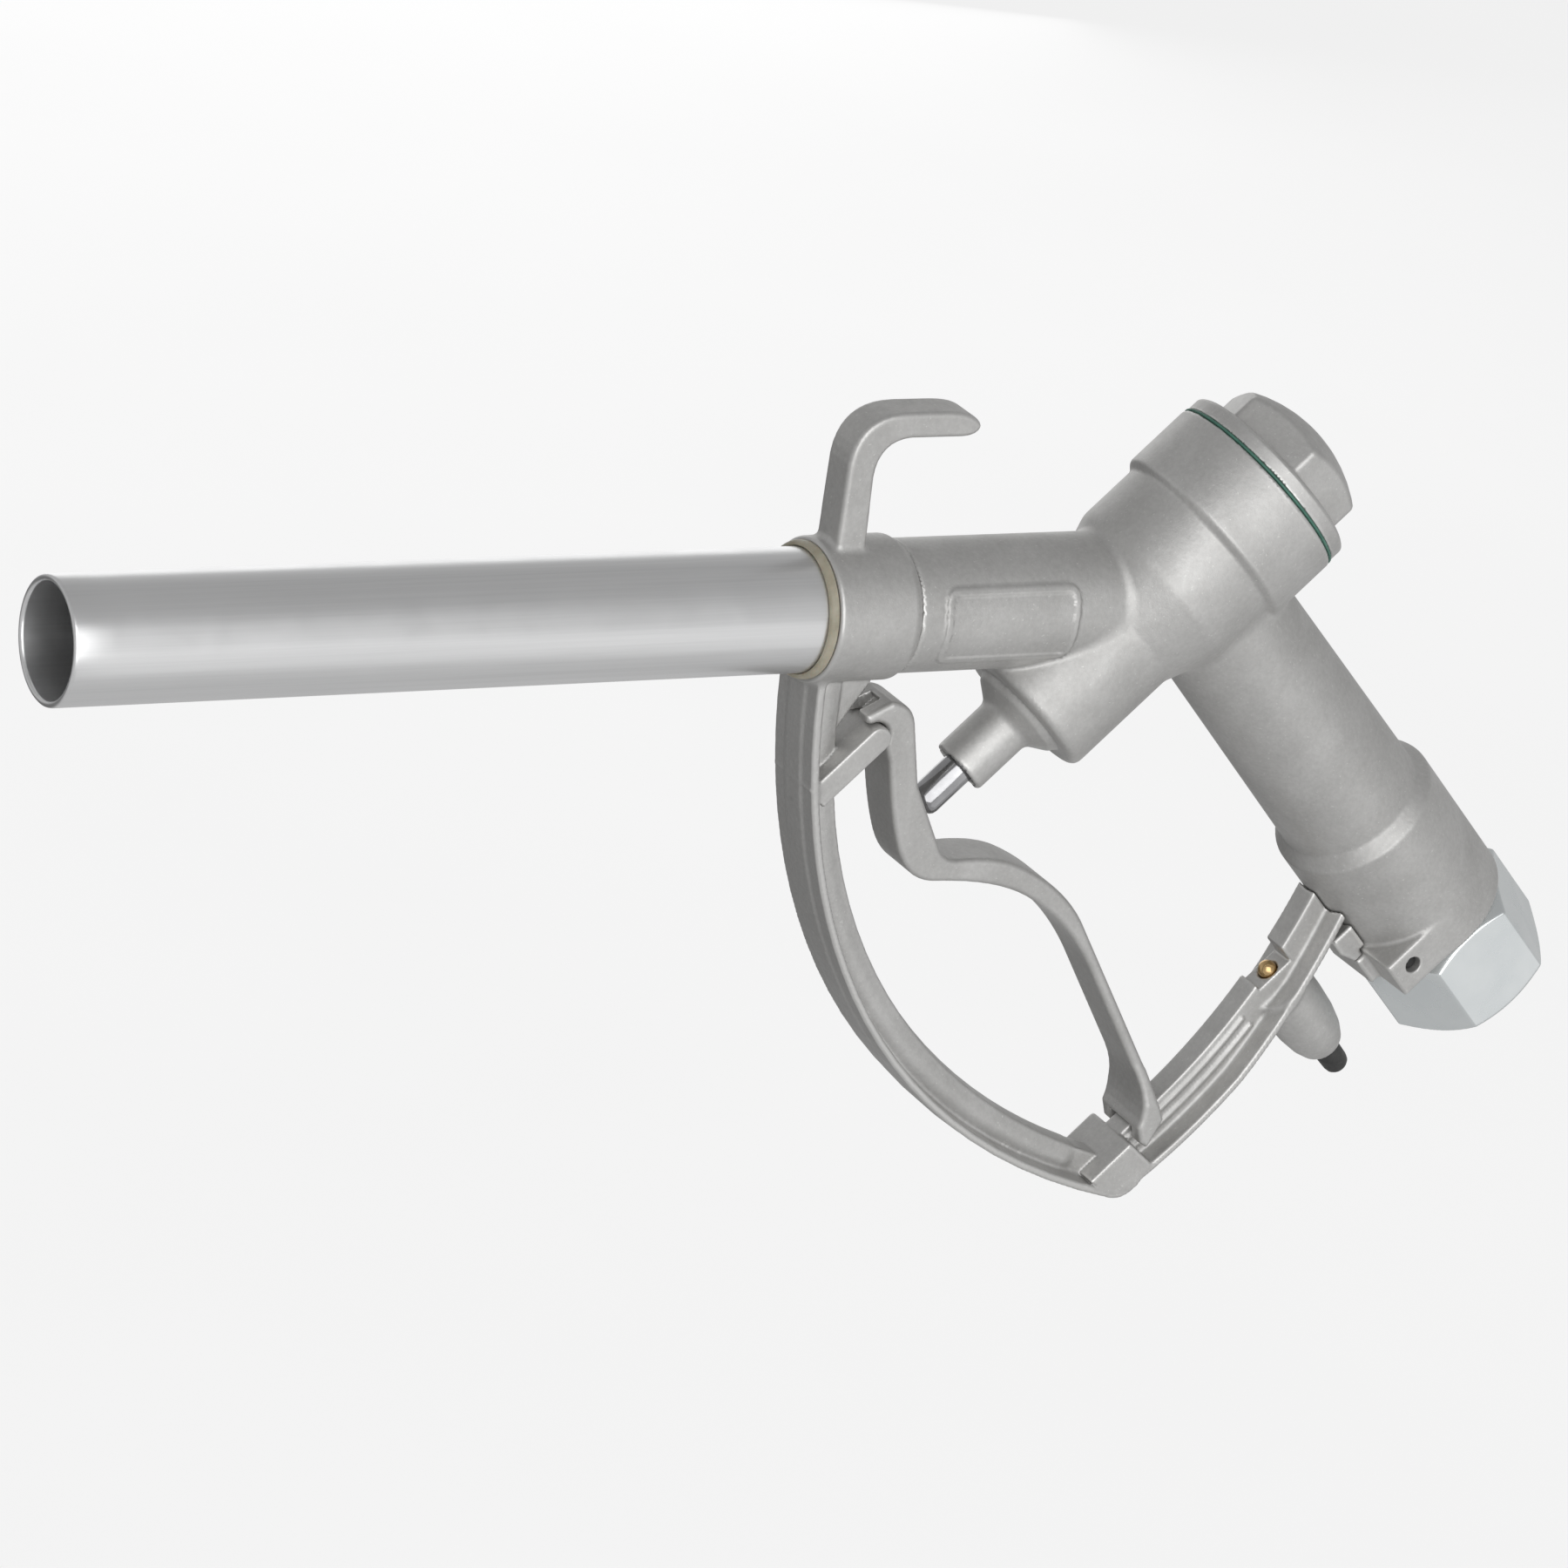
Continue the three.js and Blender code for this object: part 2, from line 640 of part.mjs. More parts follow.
function addPart(parent, name, shape, material) {
  const mesh = new THREE.Mesh(geometryOf(shape), MATERIALS[material]());
  mesh.name = name;
  parent.add(mesh);
  return mesh;
}

addPart(nozzle, "body_casting", bodyCasting(), "casting");
addPart(nozzle, "guard_casting", guardCasting(), "casting");
addPart(nozzle, "lever", lever(), "casting");

const spoutAxis = axisGroup("spout");
addPart(spoutAxis, "spout_tube", spoutTube(), "spout");
addPart(spoutAxis, "spout_gasket", spoutGasket(), "sealant");

const valveAxis = axisGroup("valve");
addPart(valveAxis, "valve_cap", valveCap(), "casting");
addPart(valveAxis, "cap_ring_seal", capRing(), "greenRubber");
addPart(valveAxis, "main_spring", mainSpring(), "steel");
addPart(valveAxis, "valve_seat", valveSeat(), "brass");
addPart(valveAxis, "poppet_seal", poppetSeal(), "blackRubber");
addPart(valveAxis, "poppet_disc", poppetDisc(), "brass");
addPart(valveAxis, "poppet_nut", poppetNut(), "steel");
addPart(valveAxis, "valve_stem", valveStem(), "steel");
addPart(valveAxis, "stem_seal_upper", stemCollar(-48.4, -46.4), "blackRubber");
addPart(valveAxis, "stem_seal_lower", stemCollar(-51, -49), "blackRubber");
addPart(valveAxis, "stem_bush", stemCollar(-57, -51.4), "brass");
addPart(valveAxis, "gland_ring", stemCollar(-59, -57.4), "steel");

const latchAxis = axisGroup("latch");
addPart(latchAxis, "latch_pin", latchPin(), "brass");
addPart(latchAxis, "latch_spring", latchSpring(), "steel");
addPart(latchAxis, "latch_button", latchButton(), "blackRubber");
addPart(latchAxis, "latch_retaining_ring", latchRetainer(), "steel");

const handleAxis = axisGroup("handle");
addPart(handleAxis, "swivel_connector", swivelConnector(), "zinc");
addPart(handleAxis, "swivel_seal", swivelSeal(), "blackRubber");
addPart(handleAxis, "inlet_strainer", inletStrainer(), "steel");
addPart(handleAxis, "inlet_gasket", inletGasket(), "blackRubber");
const pin = addPart(handleAxis, "swivel_pin", swivelPin(), "steel");
pin.position.set(SWIVEL_PIN.offset, SWIVEL_PIN.along, 0);
pin.rotation.x = Math.PI / 2;
const screw = addPart(handleAxis, "guard_screw", guardScrew(), "steel");
screw.position.set(SCREW.seat - GAP, SCREW.along, 0);
screw.rotation.z = -Math.PI / 2;

nozzle.position.set(-(HANDLE.x + HEX.end * DIAGONAL), 0, HEX.end * DIAGONAL);

export default nozzle;
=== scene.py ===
# The looks of a manual fuel nozzle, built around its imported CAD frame.
#
# The cast and hexagonal pieces are signed-distance shapes: functions of x, y, z in millimetres that
# are negative inside, joined with round fillets and meshed by OpenVDB. The turned pieces are lathed
# from a profile. Both use the CAD's design space: X along the spout from its tip, Z up, and Y = 0 the
# plane of symmetry. place() moves points into the row frame, in metres.
import json
import math

import bpy
import numpy as np
import openvdb
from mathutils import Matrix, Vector

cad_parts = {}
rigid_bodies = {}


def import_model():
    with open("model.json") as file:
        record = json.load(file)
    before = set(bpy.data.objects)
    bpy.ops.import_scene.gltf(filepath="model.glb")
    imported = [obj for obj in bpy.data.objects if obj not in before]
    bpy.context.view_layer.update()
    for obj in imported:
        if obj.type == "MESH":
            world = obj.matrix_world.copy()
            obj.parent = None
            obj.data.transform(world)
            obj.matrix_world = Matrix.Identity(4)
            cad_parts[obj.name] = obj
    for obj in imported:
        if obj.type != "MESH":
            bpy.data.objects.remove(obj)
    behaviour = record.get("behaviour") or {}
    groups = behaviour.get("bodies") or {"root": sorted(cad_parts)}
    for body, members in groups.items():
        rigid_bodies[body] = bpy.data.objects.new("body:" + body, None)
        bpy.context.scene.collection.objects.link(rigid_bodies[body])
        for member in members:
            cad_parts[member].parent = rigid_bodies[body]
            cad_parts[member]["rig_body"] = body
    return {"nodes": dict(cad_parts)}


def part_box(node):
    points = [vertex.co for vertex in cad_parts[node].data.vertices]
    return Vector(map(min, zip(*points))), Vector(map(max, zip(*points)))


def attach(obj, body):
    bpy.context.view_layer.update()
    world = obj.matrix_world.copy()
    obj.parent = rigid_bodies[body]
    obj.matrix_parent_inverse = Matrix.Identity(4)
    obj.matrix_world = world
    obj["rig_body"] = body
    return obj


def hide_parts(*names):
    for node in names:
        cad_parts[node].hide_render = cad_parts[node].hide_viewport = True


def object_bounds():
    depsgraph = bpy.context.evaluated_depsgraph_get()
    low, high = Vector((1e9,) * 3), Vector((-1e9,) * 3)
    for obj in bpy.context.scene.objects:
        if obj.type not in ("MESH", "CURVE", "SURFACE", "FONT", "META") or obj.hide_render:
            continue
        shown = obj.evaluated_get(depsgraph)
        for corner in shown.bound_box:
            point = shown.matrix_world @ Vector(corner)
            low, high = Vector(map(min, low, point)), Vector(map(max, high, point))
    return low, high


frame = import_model()
cad_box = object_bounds()

# ---- driving dimensions, in millimetres ------------------------------------------------------------
DIAGONAL = math.sqrt(0.5)
GAP = 0.3
SPOUT = {"radius": 14.5, "spigot": 13, "end": 232}
COLLAR = {"radius": 16.9, "start": 190, "end": 212.2}
BARREL = {"radius": 15.6, "start": 212.5, "bore": 11.5}
PAD = {"start": 219, "end": 255.5, "half": 9.4, "corner": 3.5}
VALVE = {"x": 283, "upper": 23, "ring": 24.8, "ring_start": 18.4, "ring_end": 37.4}
CHAMBER = {"radius": 18.4, "bottom": -39.8, "bore": 15}
GLAND = {"radius": 7, "end": -59.8, "pocket": 5.9}
HANDLE = {"x": 300, "top": 17.4, "radius": 18.3, "end": 79, "bore": 11.5}
SOCKET = {"radius": 21, "start": 82.5, "end": 122, "bore": 16.2, "bore_start": 86}
HEX = {"half_flats": 19.65, "start": 123, "end": 149, "inlet": 15.2, "step": 131}
CAP = {"start": 38.15, "top": 42.4, "half_flats": 17.8, "apex": 56.4, "dome": 33.6}
LUG = {"start": 111.1, "half_width": 20.4, "low": -21, "toe": -23.8}
SWIVEL_PIN = {"along": 115.95, "offset": -15.1, "hole": 2.05}
FOOT = {"start": 103, "bend": 107.8, "end": 112.6, "top": -17, "bottom": -26, "toe": -23.9}
SCREW = {"along": 108.9, "seat": -23, "head": 2.8, "height": 1.8}
GUARD = {"half": 9, "web": 3.5, "flange": 2.2, "hook": 5}
STRUT = {"radius": 3.2, "length": 20, "half": 8.6}
LEVER = {"half": 6.8, "fork": 9, "slot": 5, "slot_reach": 145.6}
PIVOT = (211.85, -30.15)
LATCH = (341.2, -99.3)
REAR = {"inner": 146.5, "outer": 158, "taper": 3.2, "low": -50.5, "bend": -38, "pull": -29, "top": -18.4}
SWING = 22.5
ORIGIN = (HANDLE["x"] + HEX["end"] * DIAGONAL, -HEX["end"] * DIAGONAL)


def place(points):
    """Points in design space, in millimetres, as points in the row frame, in metres."""
    moved = np.array(points, np.float64)
    moved[:, 0] -= ORIGIN[0]
    moved[:, 2] -= ORIGIN[1]
    return moved / 1000


# ---- outlines ----------------------------------------------------------------------------------------
def filleted(corners, steps=6):
    """A closed outline from (u, v, radius) corners, each rounded by about its radius."""
    points = []
    for i, (u, v, radius) in enumerate(corners):
        corner = Vector((u, v))
        before = Vector(corners[i - 1][:2]) - corner
        after = Vector(corners[(i + 1) % len(corners)][:2]) - corner
        if not radius:
            points.append((u, v))
            continue
        reach = radius / math.tan(before.angle(after) / 2)
        reach = min(reach, 0.48 * before.length, 0.48 * after.length)
        start = corner + before.normalized() * reach
        end = corner + after.normalized() * reach
        for k in range(steps + 1):
            t = k / steps
            points.append(tuple(start * (1 - t) ** 2 + corner * 2 * t * (1 - t) + end * t * t))
    return points


def bezier(controls, steps=24):
    """Points on a quadratic or cubic Bezier curve, without its first point."""
    rows = [Vector(c) for c in controls]
    points = []
    for k in range(1, steps + 1):
        level = rows
        while len(level) > 1:
            level = [a.lerp(b, k / steps) for a, b in zip(level, level[1:])]
        points.append(tuple(level[0]))
    return points


def polar(radius, degrees):
    """The point at a radius and an angle about the lever's pivot."""
    angle = math.radians(degrees)
    return PIVOT[0] + radius * math.cos(angle), PIVOT[1] + radius * math.sin(angle)


def arc(radius, start, end, steps=16):
    """Points on an arc about the lever's pivot, from one angle in degrees to another."""
    return [polar(radius, start + (end - start) * k / steps) for k in range(steps + 1)]


# ---- distance shapes -----------------------------------------------------------------------------------
class Axis:
    """A line in the plane of symmetry, from a point (x, z) in a direction."""

    def __init__(self, x, z, direction_x, direction_z):
        self.x, self.z = x, z
        self.dx, self.dz = direction_x, direction_z

    def split(self, x, z):
        """How far to the side of the line, and how far along it, a point is."""
        dx, dz = x - self.x, z - self.z
        return dz * self.dx - dx * self.dz, dx * self.dx + dz * self.dz

    def point(self, side, along):
        """The point (x, z) that is so far to the side and along."""
        return self.x + along * self.dx - side * self.dz, self.z + along * self.dz + side * self.dx


SPOUT_AXIS = Axis(0, 0, 1, 0)
VALVE_AXIS = Axis(VALVE["x"], 0, DIAGONAL, DIAGONAL)
HANDLE_AXIS = Axis(HANDLE["x"], 0, DIAGONAL, -DIAGONAL)
LATCH_AXIS = Axis(*LATCH, DIAGONAL, -DIAGONAL)
STRUT_AXIS = Axis(*PIVOT, DIAGONAL, DIAGONAL)
OPENED = math.radians(45 + SWING)
OPEN_STRUT_AXIS = Axis(*PIVOT, math.cos(OPENED), math.sin(OPENED))
SCREW_AXIS = Axis(*HANDLE_AXIS.point(SCREW["seat"] - GAP, SCREW["along"]), DIAGONAL, DIAGONAL)


def polygon(outline):
    """Signed distance to a closed outline, as a function of two coordinates in its plane."""
    corners = [tuple(float(c) for c in p) for p in outline]
    edges = list(zip(corners, corners[1:] + corners[:1]))

    def distance(u, v):
        shape = np.broadcast(u, v).shape
        nearest = np.full(shape, 1e9, np.float32)
        inside = np.zeros(shape, bool)
        for (au, av), (bu, bv) in edges:
            eu, ev = bu - au, bv - av
            if eu == 0 and ev == 0:
                continue
            wu, wv = u - au, v - av
            t = np.clip((wu * eu + wv * ev) / (eu * eu + ev * ev), 0, 1)
            np.minimum(nearest, (wu - t * eu) ** 2 + (wv - t * ev) ** 2, out=nearest)
            if ev:
                inside ^= ((av > v) != (bv > v)) & (wu < wv * (eu / ev))
        return np.sqrt(nearest) * np.where(inside, np.float32(-1), np.float32(1))

    return distance


def overlap(a, b, radius=0.0):
    """What two distances share, with the edge between them rounded outwards."""
    a, b = a + radius, b + radius
    return np.minimum(np.maximum(a, b), 0) + np.hypot(np.maximum(a, 0), np.maximum(b, 0)) - radius


def joined(a, b, radius=0.0):
    """Two distances together, with a round fillet where they meet."""
    a, b = radius - a, radius - b
    gap = np.maximum(0, -np.maximum(a, b))
    return radius + gap - np.hypot(np.maximum(a, 0), np.maximum(b, 0))


def lathe(axis, profile):
    """The body turned about an axis from (radius, along) points, where radius 0 is the axis."""
    flat = polygon([(-99 if r == 0 else r, t) for r, t in profile])

    def distance(x, y, z):
        side, along = axis.split(x, z)
        return flat(np.hypot(side, y), along)

    return distance


def slab(outline, half, rounding=0.0, axis=None):
    """An outline in (x, z), or in (side, along) of an axis, out to a half width across the plane."""
    flat = polygon(outline)

    def distance(x, y, z):
        u, v = axis.split(x, z) if axis else (x, z)
        return overlap(flat(u, v), np.abs(y) - half, rounding)

    return distance


def rectangle(sides, alongs):
    """The corners of a rectangle, from its two limits each way."""
    return [(sides[0], alongs[0]), (sides[1], alongs[0]), (sides[1], alongs[1]), (sides[0], alongs[1])]


def hexagonal(axis, half_flats, profile, rounding):
    """A hexagon about an axis, two flats facing sideways, trimmed to a turned profile."""
    turned = lathe(axis, profile)

    def distance(x, y, z):
        side, _ = axis.split(x, z)
        slopes = [math.radians(30 + 60 * k) for k in range(3)]
        faces = [np.abs(side * math.cos(a) + y * math.sin(a)) - half_flats for a in slopes]
        prism = overlap(overlap(faces[0], faces[1], rounding), faces[2], rounding)
        return overlap(prism, turned(x, y, z), rounding)

    return distance


def across_hole(axis, side, along, radius):
    """A round hole straight across the plane of symmetry."""

    def distance(x, y, z):
        s, t = axis.split(x, z)
        return np.hypot(s - side, t - along) - radius + 0 * y

    return distance


# ---- body casting ----------------------------------------------------------------------------------------
def valve_housing():
    """The valve's housing: gland, chamber and the wide ring that the cap closes."""
    bottom, radius = CHAMBER["bottom"], CHAMBER["radius"]
    return lathe(VALVE_AXIS, filleted([
        (0, GLAND["end"], 0),
        (GLAND["radius"], GLAND["end"], 1.2),
        (GLAND["radius"], bottom - 4.8, 2.6),
        (11.6, bottom - 1.6, 2),
        (12.6, bottom + 0.2, 0.6),
        (radius, bottom, 3.6),
        (radius, -10, 5),
        (VALVE["upper"], 3, 7),
        (VALVE["upper"], VALVE["ring_start"], 1.2),
        (VALVE["ring"], VALVE["ring_start"] + 1.6, 1.4),
        (VALVE["ring"], VALVE["ring_end"], 0.8),
        (0, VALVE["ring_end"], 0),
    ]))


def valve_bore():
    """The room inside the housing, from the gland's pocket up to the hole for the cap's plug."""
    pocket, bottom = GLAND["pocket"], CHAMBER["bottom"]
    return lathe(VALVE_AXIS, [
        (0, GLAND["end"] - 1),
        (pocket + 0.5, GLAND["end"] - 1),
        (pocket, GLAND["end"] + 0.6),
        (pocket, bottom - 6),
        (4.2, bottom - 6),
        (4.2, bottom + 3),
        (CHAMBER["bore"], bottom + 3),
        (CHAMBER["bore"], -1.9),
        (16.3, -1.9),
        (16.3, 1.9),
        (18, 3.9),
        (18, 26),
        (20.8, 26),
        (20.8, 38),
        (0, 38),
    ])


def handle_tube():
    """The handle's tube, widening to the socket that holds the hose connector."""
    return lathe(HANDLE_AXIS, filleted([
        (0, 0, 0),
        (HANDLE["top"], 0, 0),
        (HANDLE["radius"], HANDLE["end"], 1.2),
        (SOCKET["radius"], SOCKET["start"], 1.2),
        (SOCKET["radius"], SOCKET["end"], 0.8),
        (0, SOCKET["end"], 0),
    ]))


def handle_bore():
    """The passage through the handle and the socket's bore."""
    bore, wide = HANDLE["bore"], SOCKET["bore"]
    return lathe(HANDLE_AXIS, [
        (0, 12), (bore, 12), (bore, SOCKET["bore_start"]), (wide, SOCKET["bore_start"]),
        (wide, SOCKET["end"] - 0.4), (wide + 0.8, SOCKET["end"] + 1), (0, SOCKET["end"] + 1),
    ])


def barrel_pad(x, y, z):
    """The blank pad on both flanks: a low rounded rectangle with a raised rim."""
    half, corner = PAD["half"], PAD["corner"]
    corners = rectangle((PAD["start"], PAD["end"]), (-half, half))
    edge = polygon(filleted([(u, v, corner) for u, v in corners]))(x, z)
    height = np.hypot(y, z) - BARREL["radius"]
    rim = overlap(np.abs(edge + 0.9) - 0.9, height - 0.55, 0.4)
    panel = overlap(edge, height - 0.15, 0.1)
    return np.maximum(np.minimum(rim, panel), 4 - np.abs(y))


def barrel_bore():
    """The hole for the spout's spigot, and the passage from it into the valve's housing."""
    hole, bore = SPOUT["spigot"] + GAP, BARREL["bore"]
    step, end = SPOUT["end"] + 1, VALVE["x"] - 4
    return lathe(SPOUT_AXIS, [(0, 200), (hole, 200), (hole, step), (bore, step), (bore, end), (0, end)])


def body_shape():
    """The body casting: barrel, valve housing, handle and the lug under its end, all bored out."""
    radius, start, end = BARREL["radius"], BARREL["start"], VALVE["x"]
    barrel = lathe(SPOUT_AXIS, filleted([(0, start, 0), (radius, start, 0.5), (radius, end, 0), (0, end, 0)]))
    housing, handle = valve_housing(), handle_tube()
    low, lug_start, lug_end = LUG["low"], LUG["start"], SOCKET["end"]
    cheeks = slab(rectangle((low, 0), (lug_start, lug_end)), LUG["half_width"], 0.9, HANDLE_AXIS)
    toe_outline = rectangle((LUG["toe"], low + 3), (lug_start + 2, lug_end))
    toe = slab(toe_outline, GUARD["half"], 0.9, HANDLE_AXIS)
    bores = [barrel_bore(), valve_bore(), handle_bore()]
    pin_hole = across_hole(HANDLE_AXIS, SWIVEL_PIN["offset"], SWIVEL_PIN["along"], SWIVEL_PIN["hole"])
    screw_hole = lathe(SCREW_AXIS, rectangle((0, 2.3), (-5, 6.3)))

    def distance(x, y, z):
        solid = joined(barrel(x, y, z), housing(x, y, z), 1.2)
        solid = joined(solid, handle(x, y, z), 1.5)
        lug = joined(cheeks(x, y, z), toe(x, y, z), 1)
        solid = joined(solid, lug, 1)
        solid = joined(solid, barrel_pad(x, y, z), 0.4)
        for bore in bores:
            solid = overlap(solid, -bore(x, y, z), 0.15)
        solid = overlap(solid, -pin_hole(x, y, z), 0.4)
        return overlap(solid, -screw_hole(x, y, z), 0.2)

    return distance


# ---- guard casting ---------------------------------------------------------------------------------------
# The curves down the front of the guard, as the controls of cubic Bezier curves in (x, z).
FRONT_OUTER = [(192, -12), (193.9, -66.7), (221.7, -133.9), (304, -156.5)]
FRONT_FLANGE = [(194.2, -12), (196.1, -66.7), (223.1, -132.2), (304.6, -154.4)]
FRONT_INNER = [(202, -12), (202.1, -82.8), (247.9, -129), (302, -147)]
FRONT_BULB = [(198.7, -20), (198.9, -84), (245.4, -131.5), (297.5, -149.3)]


def loop_band(front_inner, rear_inner, inner_taper):
    """The closed band between the guard's outer edge and an inner edge."""
    low, bend, pull, top = (REAR[key] for key in ("low", "bend", "pull", "top"))
    outer, narrow = REAR["outer"], REAR["outer"] - REAR["taper"]
    band = [FRONT_OUTER[0]] + bezier(FRONT_OUTER)
    band += bezier([FRONT_OUTER[3], (309, -157.6), polar(outer, low)], 6)
    band += arc(outer, low, bend)[1:]
    band += bezier([polar(outer, bend), polar(outer, pull), polar(narrow, top)], 10)
    start = polar(rear_inner - inner_taper, top)
    if inner_taper:
        band += [start] + bezier([start, polar(rear_inner, pull), polar(rear_inner, bend)], 10)
        band += arc(rear_inner, bend, low + 2)[1:]
    else:
        band += arc(rear_inner, top, low + 2, 24)
    return band + [front_inner[3]] + bezier(front_inner[::-1])


def bead(path, radius, height=0.0):
    """A round bead along an open path, on both sides of the plane at a height."""
    ends = list(zip(path, path[1:]))

    def distance(x, y, z):
        nearest = np.full(np.broadcast(x, z).shape, 1e9, np.float32)
        for (ax, az), (bx, bz) in ends:
            ex, ez = bx - ax, bz - az
            t = np.clip(((x - ax) * ex + (z - az) * ez) / (ex * ex + ez * ez), 0, 1)
            np.minimum(nearest, (x - ax - t * ex) ** 2 + (z - az - t * ez) ** 2, out=nearest)
        return np.hypot(np.sqrt(nearest), np.abs(y) - height) - radius

    return distance


def hook_outline():
    """The hook that stands on the collar."""
    outline = [(193, 12), (192, 37)]
    outline += bezier([(192, 37), (192.6, 49.4), (206, 49.4)], 10) + [(216, 49.4)]
    outline += bezier([(216, 49.4), (224, 49.3), (225.6, 45.9)], 8)
    outline += bezier([(225.6, 45.9), (225.4, 43.2), (220.5, 43.2)], 8) + [(207.5, 43.2)]
    outline += bezier([(207.5, 43.2), (199.2, 42.6), (199.2, 34)], 8) + [(201, 12)]
    return outline


def latch_boss():
    """The boss, outside the loop, that the latch's pin slides in."""
    return lathe(LATCH_AXIS, filleted([
        (0, 8.2, 0), (8.2, 8.2, 0.5), (8.2, 17, 3), (7.8, 24, 3), (6.9, 29.4, 3), (5.6, 33, 1.5),
        (4.6, 34.3, 0.4), (0, 34.3, 0),
    ]))


def foot_outline():
    """The foot in (side, along) of the handle: it hugs the socket and stops short of the lug."""
    start, bend, end = FOOT["start"], FOOT["bend"], FOOT["end"]
    shoulder, under = LUG["start"] - GAP, LUG["low"] - GAP - 0.1
    outline = [(FOOT["bottom"], start), (FOOT["bottom"], bend), (FOOT["toe"], end), (under, end)]
    return outline + [(under, shoulder), (FOOT["top"], shoulder), (FOOT["top"], start)]


def strut_outline():
    """The strut up to the lever's pivot, in (side, along) of its axis, with a round end."""
    radius, length = STRUT["radius"], STRUT["length"]
    tip = [(radius * math.cos(a), radius * math.sin(a)) for a in np.linspace(0, math.pi, 13)]
    return [(-radius, -length), (radius, -length)] + tip


def guard_shape():
    """The guard casting: collar, hook, flanged loop, strut, latch boss and the foot under the handle."""
    half, spout_hole = GUARD["half"], SPOUT["radius"] + GAP
    collar = lathe(SPOUT_AXIS, filleted([
        (spout_hole, COLLAR["start"], 0.3),
        (COLLAR["radius"], COLLAR["start"], 2),
        (COLLAR["radius"], COLLAR["end"] - 1.8, 1),
        (COLLAR["radius"] - 1, COLLAR["end"], 0.3),
        (spout_hole, COLLAR["end"], 0),
    ]))
    web = slab(loop_band(FRONT_INNER, REAR["inner"], 0), GUARD["web"], 0.7)
    flange_inner = REAR["outer"] - GUARD["flange"]
    flange = slab(loop_band(FRONT_FLANGE, flange_inner, REAR["taper"]), half, 0.7)
    bulb = bead([FRONT_BULB[0]] + bezier(FRONT_BULB)[:-1], 4.3)
    ribs = [bead(arc(radius, -50, -33.6, 10), 0.8, 3.3) for radius in (149.2, 152.6)]
    hook = slab(hook_outline(), GUARD["hook"], 1.1)
    thin_web = slab([(198, -12), (211, -12), (211, -18.5), (204, -30), (196, -42)], 1.5, 0.4)
    strut = slab(strut_outline(), STRUT["half"], 0.6, STRUT_AXIS)
    corner = [(297, -151.4, 0.5), (306.7, -141.7, 0.8), (314.6, -148, 0.8), (311, -154, 0), (303, -155.5, 0)]
    block = slab(filleted(corner), half, 0.6)
    foot = slab(foot_outline(), half, 0.7, HANDLE_AXIS)
    additions = [
        (hook, 1.2), (thin_web, 1), (strut, 0.5), (block, 0.3), (latch_boss(), 1.6), (foot, 0.3),
    ]
    collar_hole = lathe(SPOUT_AXIS, rectangle((0, spout_hole), (150, 240)))
    socket_room = lathe(HANDLE_AXIS, rectangle((0, SOCKET["radius"] + GAP), (71, SOCKET["end"])))
    latch_bore = lathe(LATCH_AXIS, [(0, -1), (2.6, -1), (2.6, 12), (4.1, 12), (4.1, 36), (0, 36)])
    notch = slab(rectangle((-5.2, 5.2), (-6, 3)), 9.5, 0.0, LATCH_AXIS)
    screw_hole = lathe(SCREW_AXIS, [(0, -9), (3.1, -9), (3.1, 0.3), (2.4, 0.3), (2.4, 9), (0, 9)])

    def distance(x, y, z):
        solid = joined(web(x, y, z), flange(x, y, z), 1.2)
        solid = joined(solid, bulb(x, y, z), 1)
        for rib in ribs:
            solid = joined(solid, rib(x, y, z), 0.5)
        for part, fillet in additions:
            solid = joined(solid, part(x, y, z), fillet)
        solid = joined(solid, collar(x, y, z), 1.5)
        for tool in (collar_hole, socket_room, latch_bore, screw_hole):
            solid = overlap(solid, -tool(x, y, z), 0.3)
        return overlap(solid, -notch(x, y, z), 0.5)

    return distance


# ---- lever -----------------------------------------------------------------------------------------------
def lever_outline():
    """The lever at rest, from the eye at its pivot down to the fork that bears on the guard."""
    outline = [(208.4, -24.8), (208.9, -26.6)] + arc(3.5, 119, -30, 10) + [(217.2, -37)]
    outline += bezier([(217.2, -37), (220.2, -50), (223.4, -57.5)], 8)
    outline += bezier([(223.4, -57.5), (227.6, -68.4), (237, -68.5)], 10)
    outline += bezier([(237, -68.5), (258, -69.2), (268, -77)], 10)
    outline += bezier([(268, -77), (277.2, -82.4), (285.4, -94)], 10) + [(305.4, -123.8)]
    outline += bezier([(305.4, -123.8), (310, -131.4), (308.2, -138)], 6)
    outline += [(309.7, -142.1), (312.1, -143.6), (315.3, -136), (308.7, -123.3), (280.6, -81.6)]
    outline += bezier([(280.6, -81.6), (273, -71.4), (258.7, -65.4)], 10)
    outline += bezier([(258.7, -65.4), (252, -62.8), (242.5, -63.2)], 8)
    outline += bezier([(242.5, -63.2), (238.2, -63.4), (236, -60.2)], 6) + [(226.4, -43.2), (222.6, -28.6)]
    return outline + bezier([(222.6, -28.6), (221.4, -22.2), (215.1, -21.6)], 8)


def lever_shape():
    """The lever, slotted to clear the thin web at its pivot and the guard's web at its fork."""
    flat = polygon(lever_outline())
    slot = rectangle((2, 14), (-12, 7))
    web_slots = [slab(slot, 2.2, 0.2, axis) for axis in (STRUT_AXIS, OPEN_STRUT_AXIS)]

    def distance(x, y, z):
        half = np.interp(z, [-132, -121], [LEVER["fork"], LEVER["half"]]).astype(np.float32)
        solid = overlap(flat(x, z), np.abs(y) - half, 1.3)
        reach = np.hypot(x - PIVOT[0], z - PIVOT[1])
        fork_slot = overlap(LEVER["slot_reach"] - reach, np.abs(y) - LEVER["slot"])
        solid = overlap(solid, -fork_slot, 0.5)
        for web_slot in web_slots:
            solid = overlap(solid, -web_slot(x, y, z), 0.4)
        return solid

    return distance


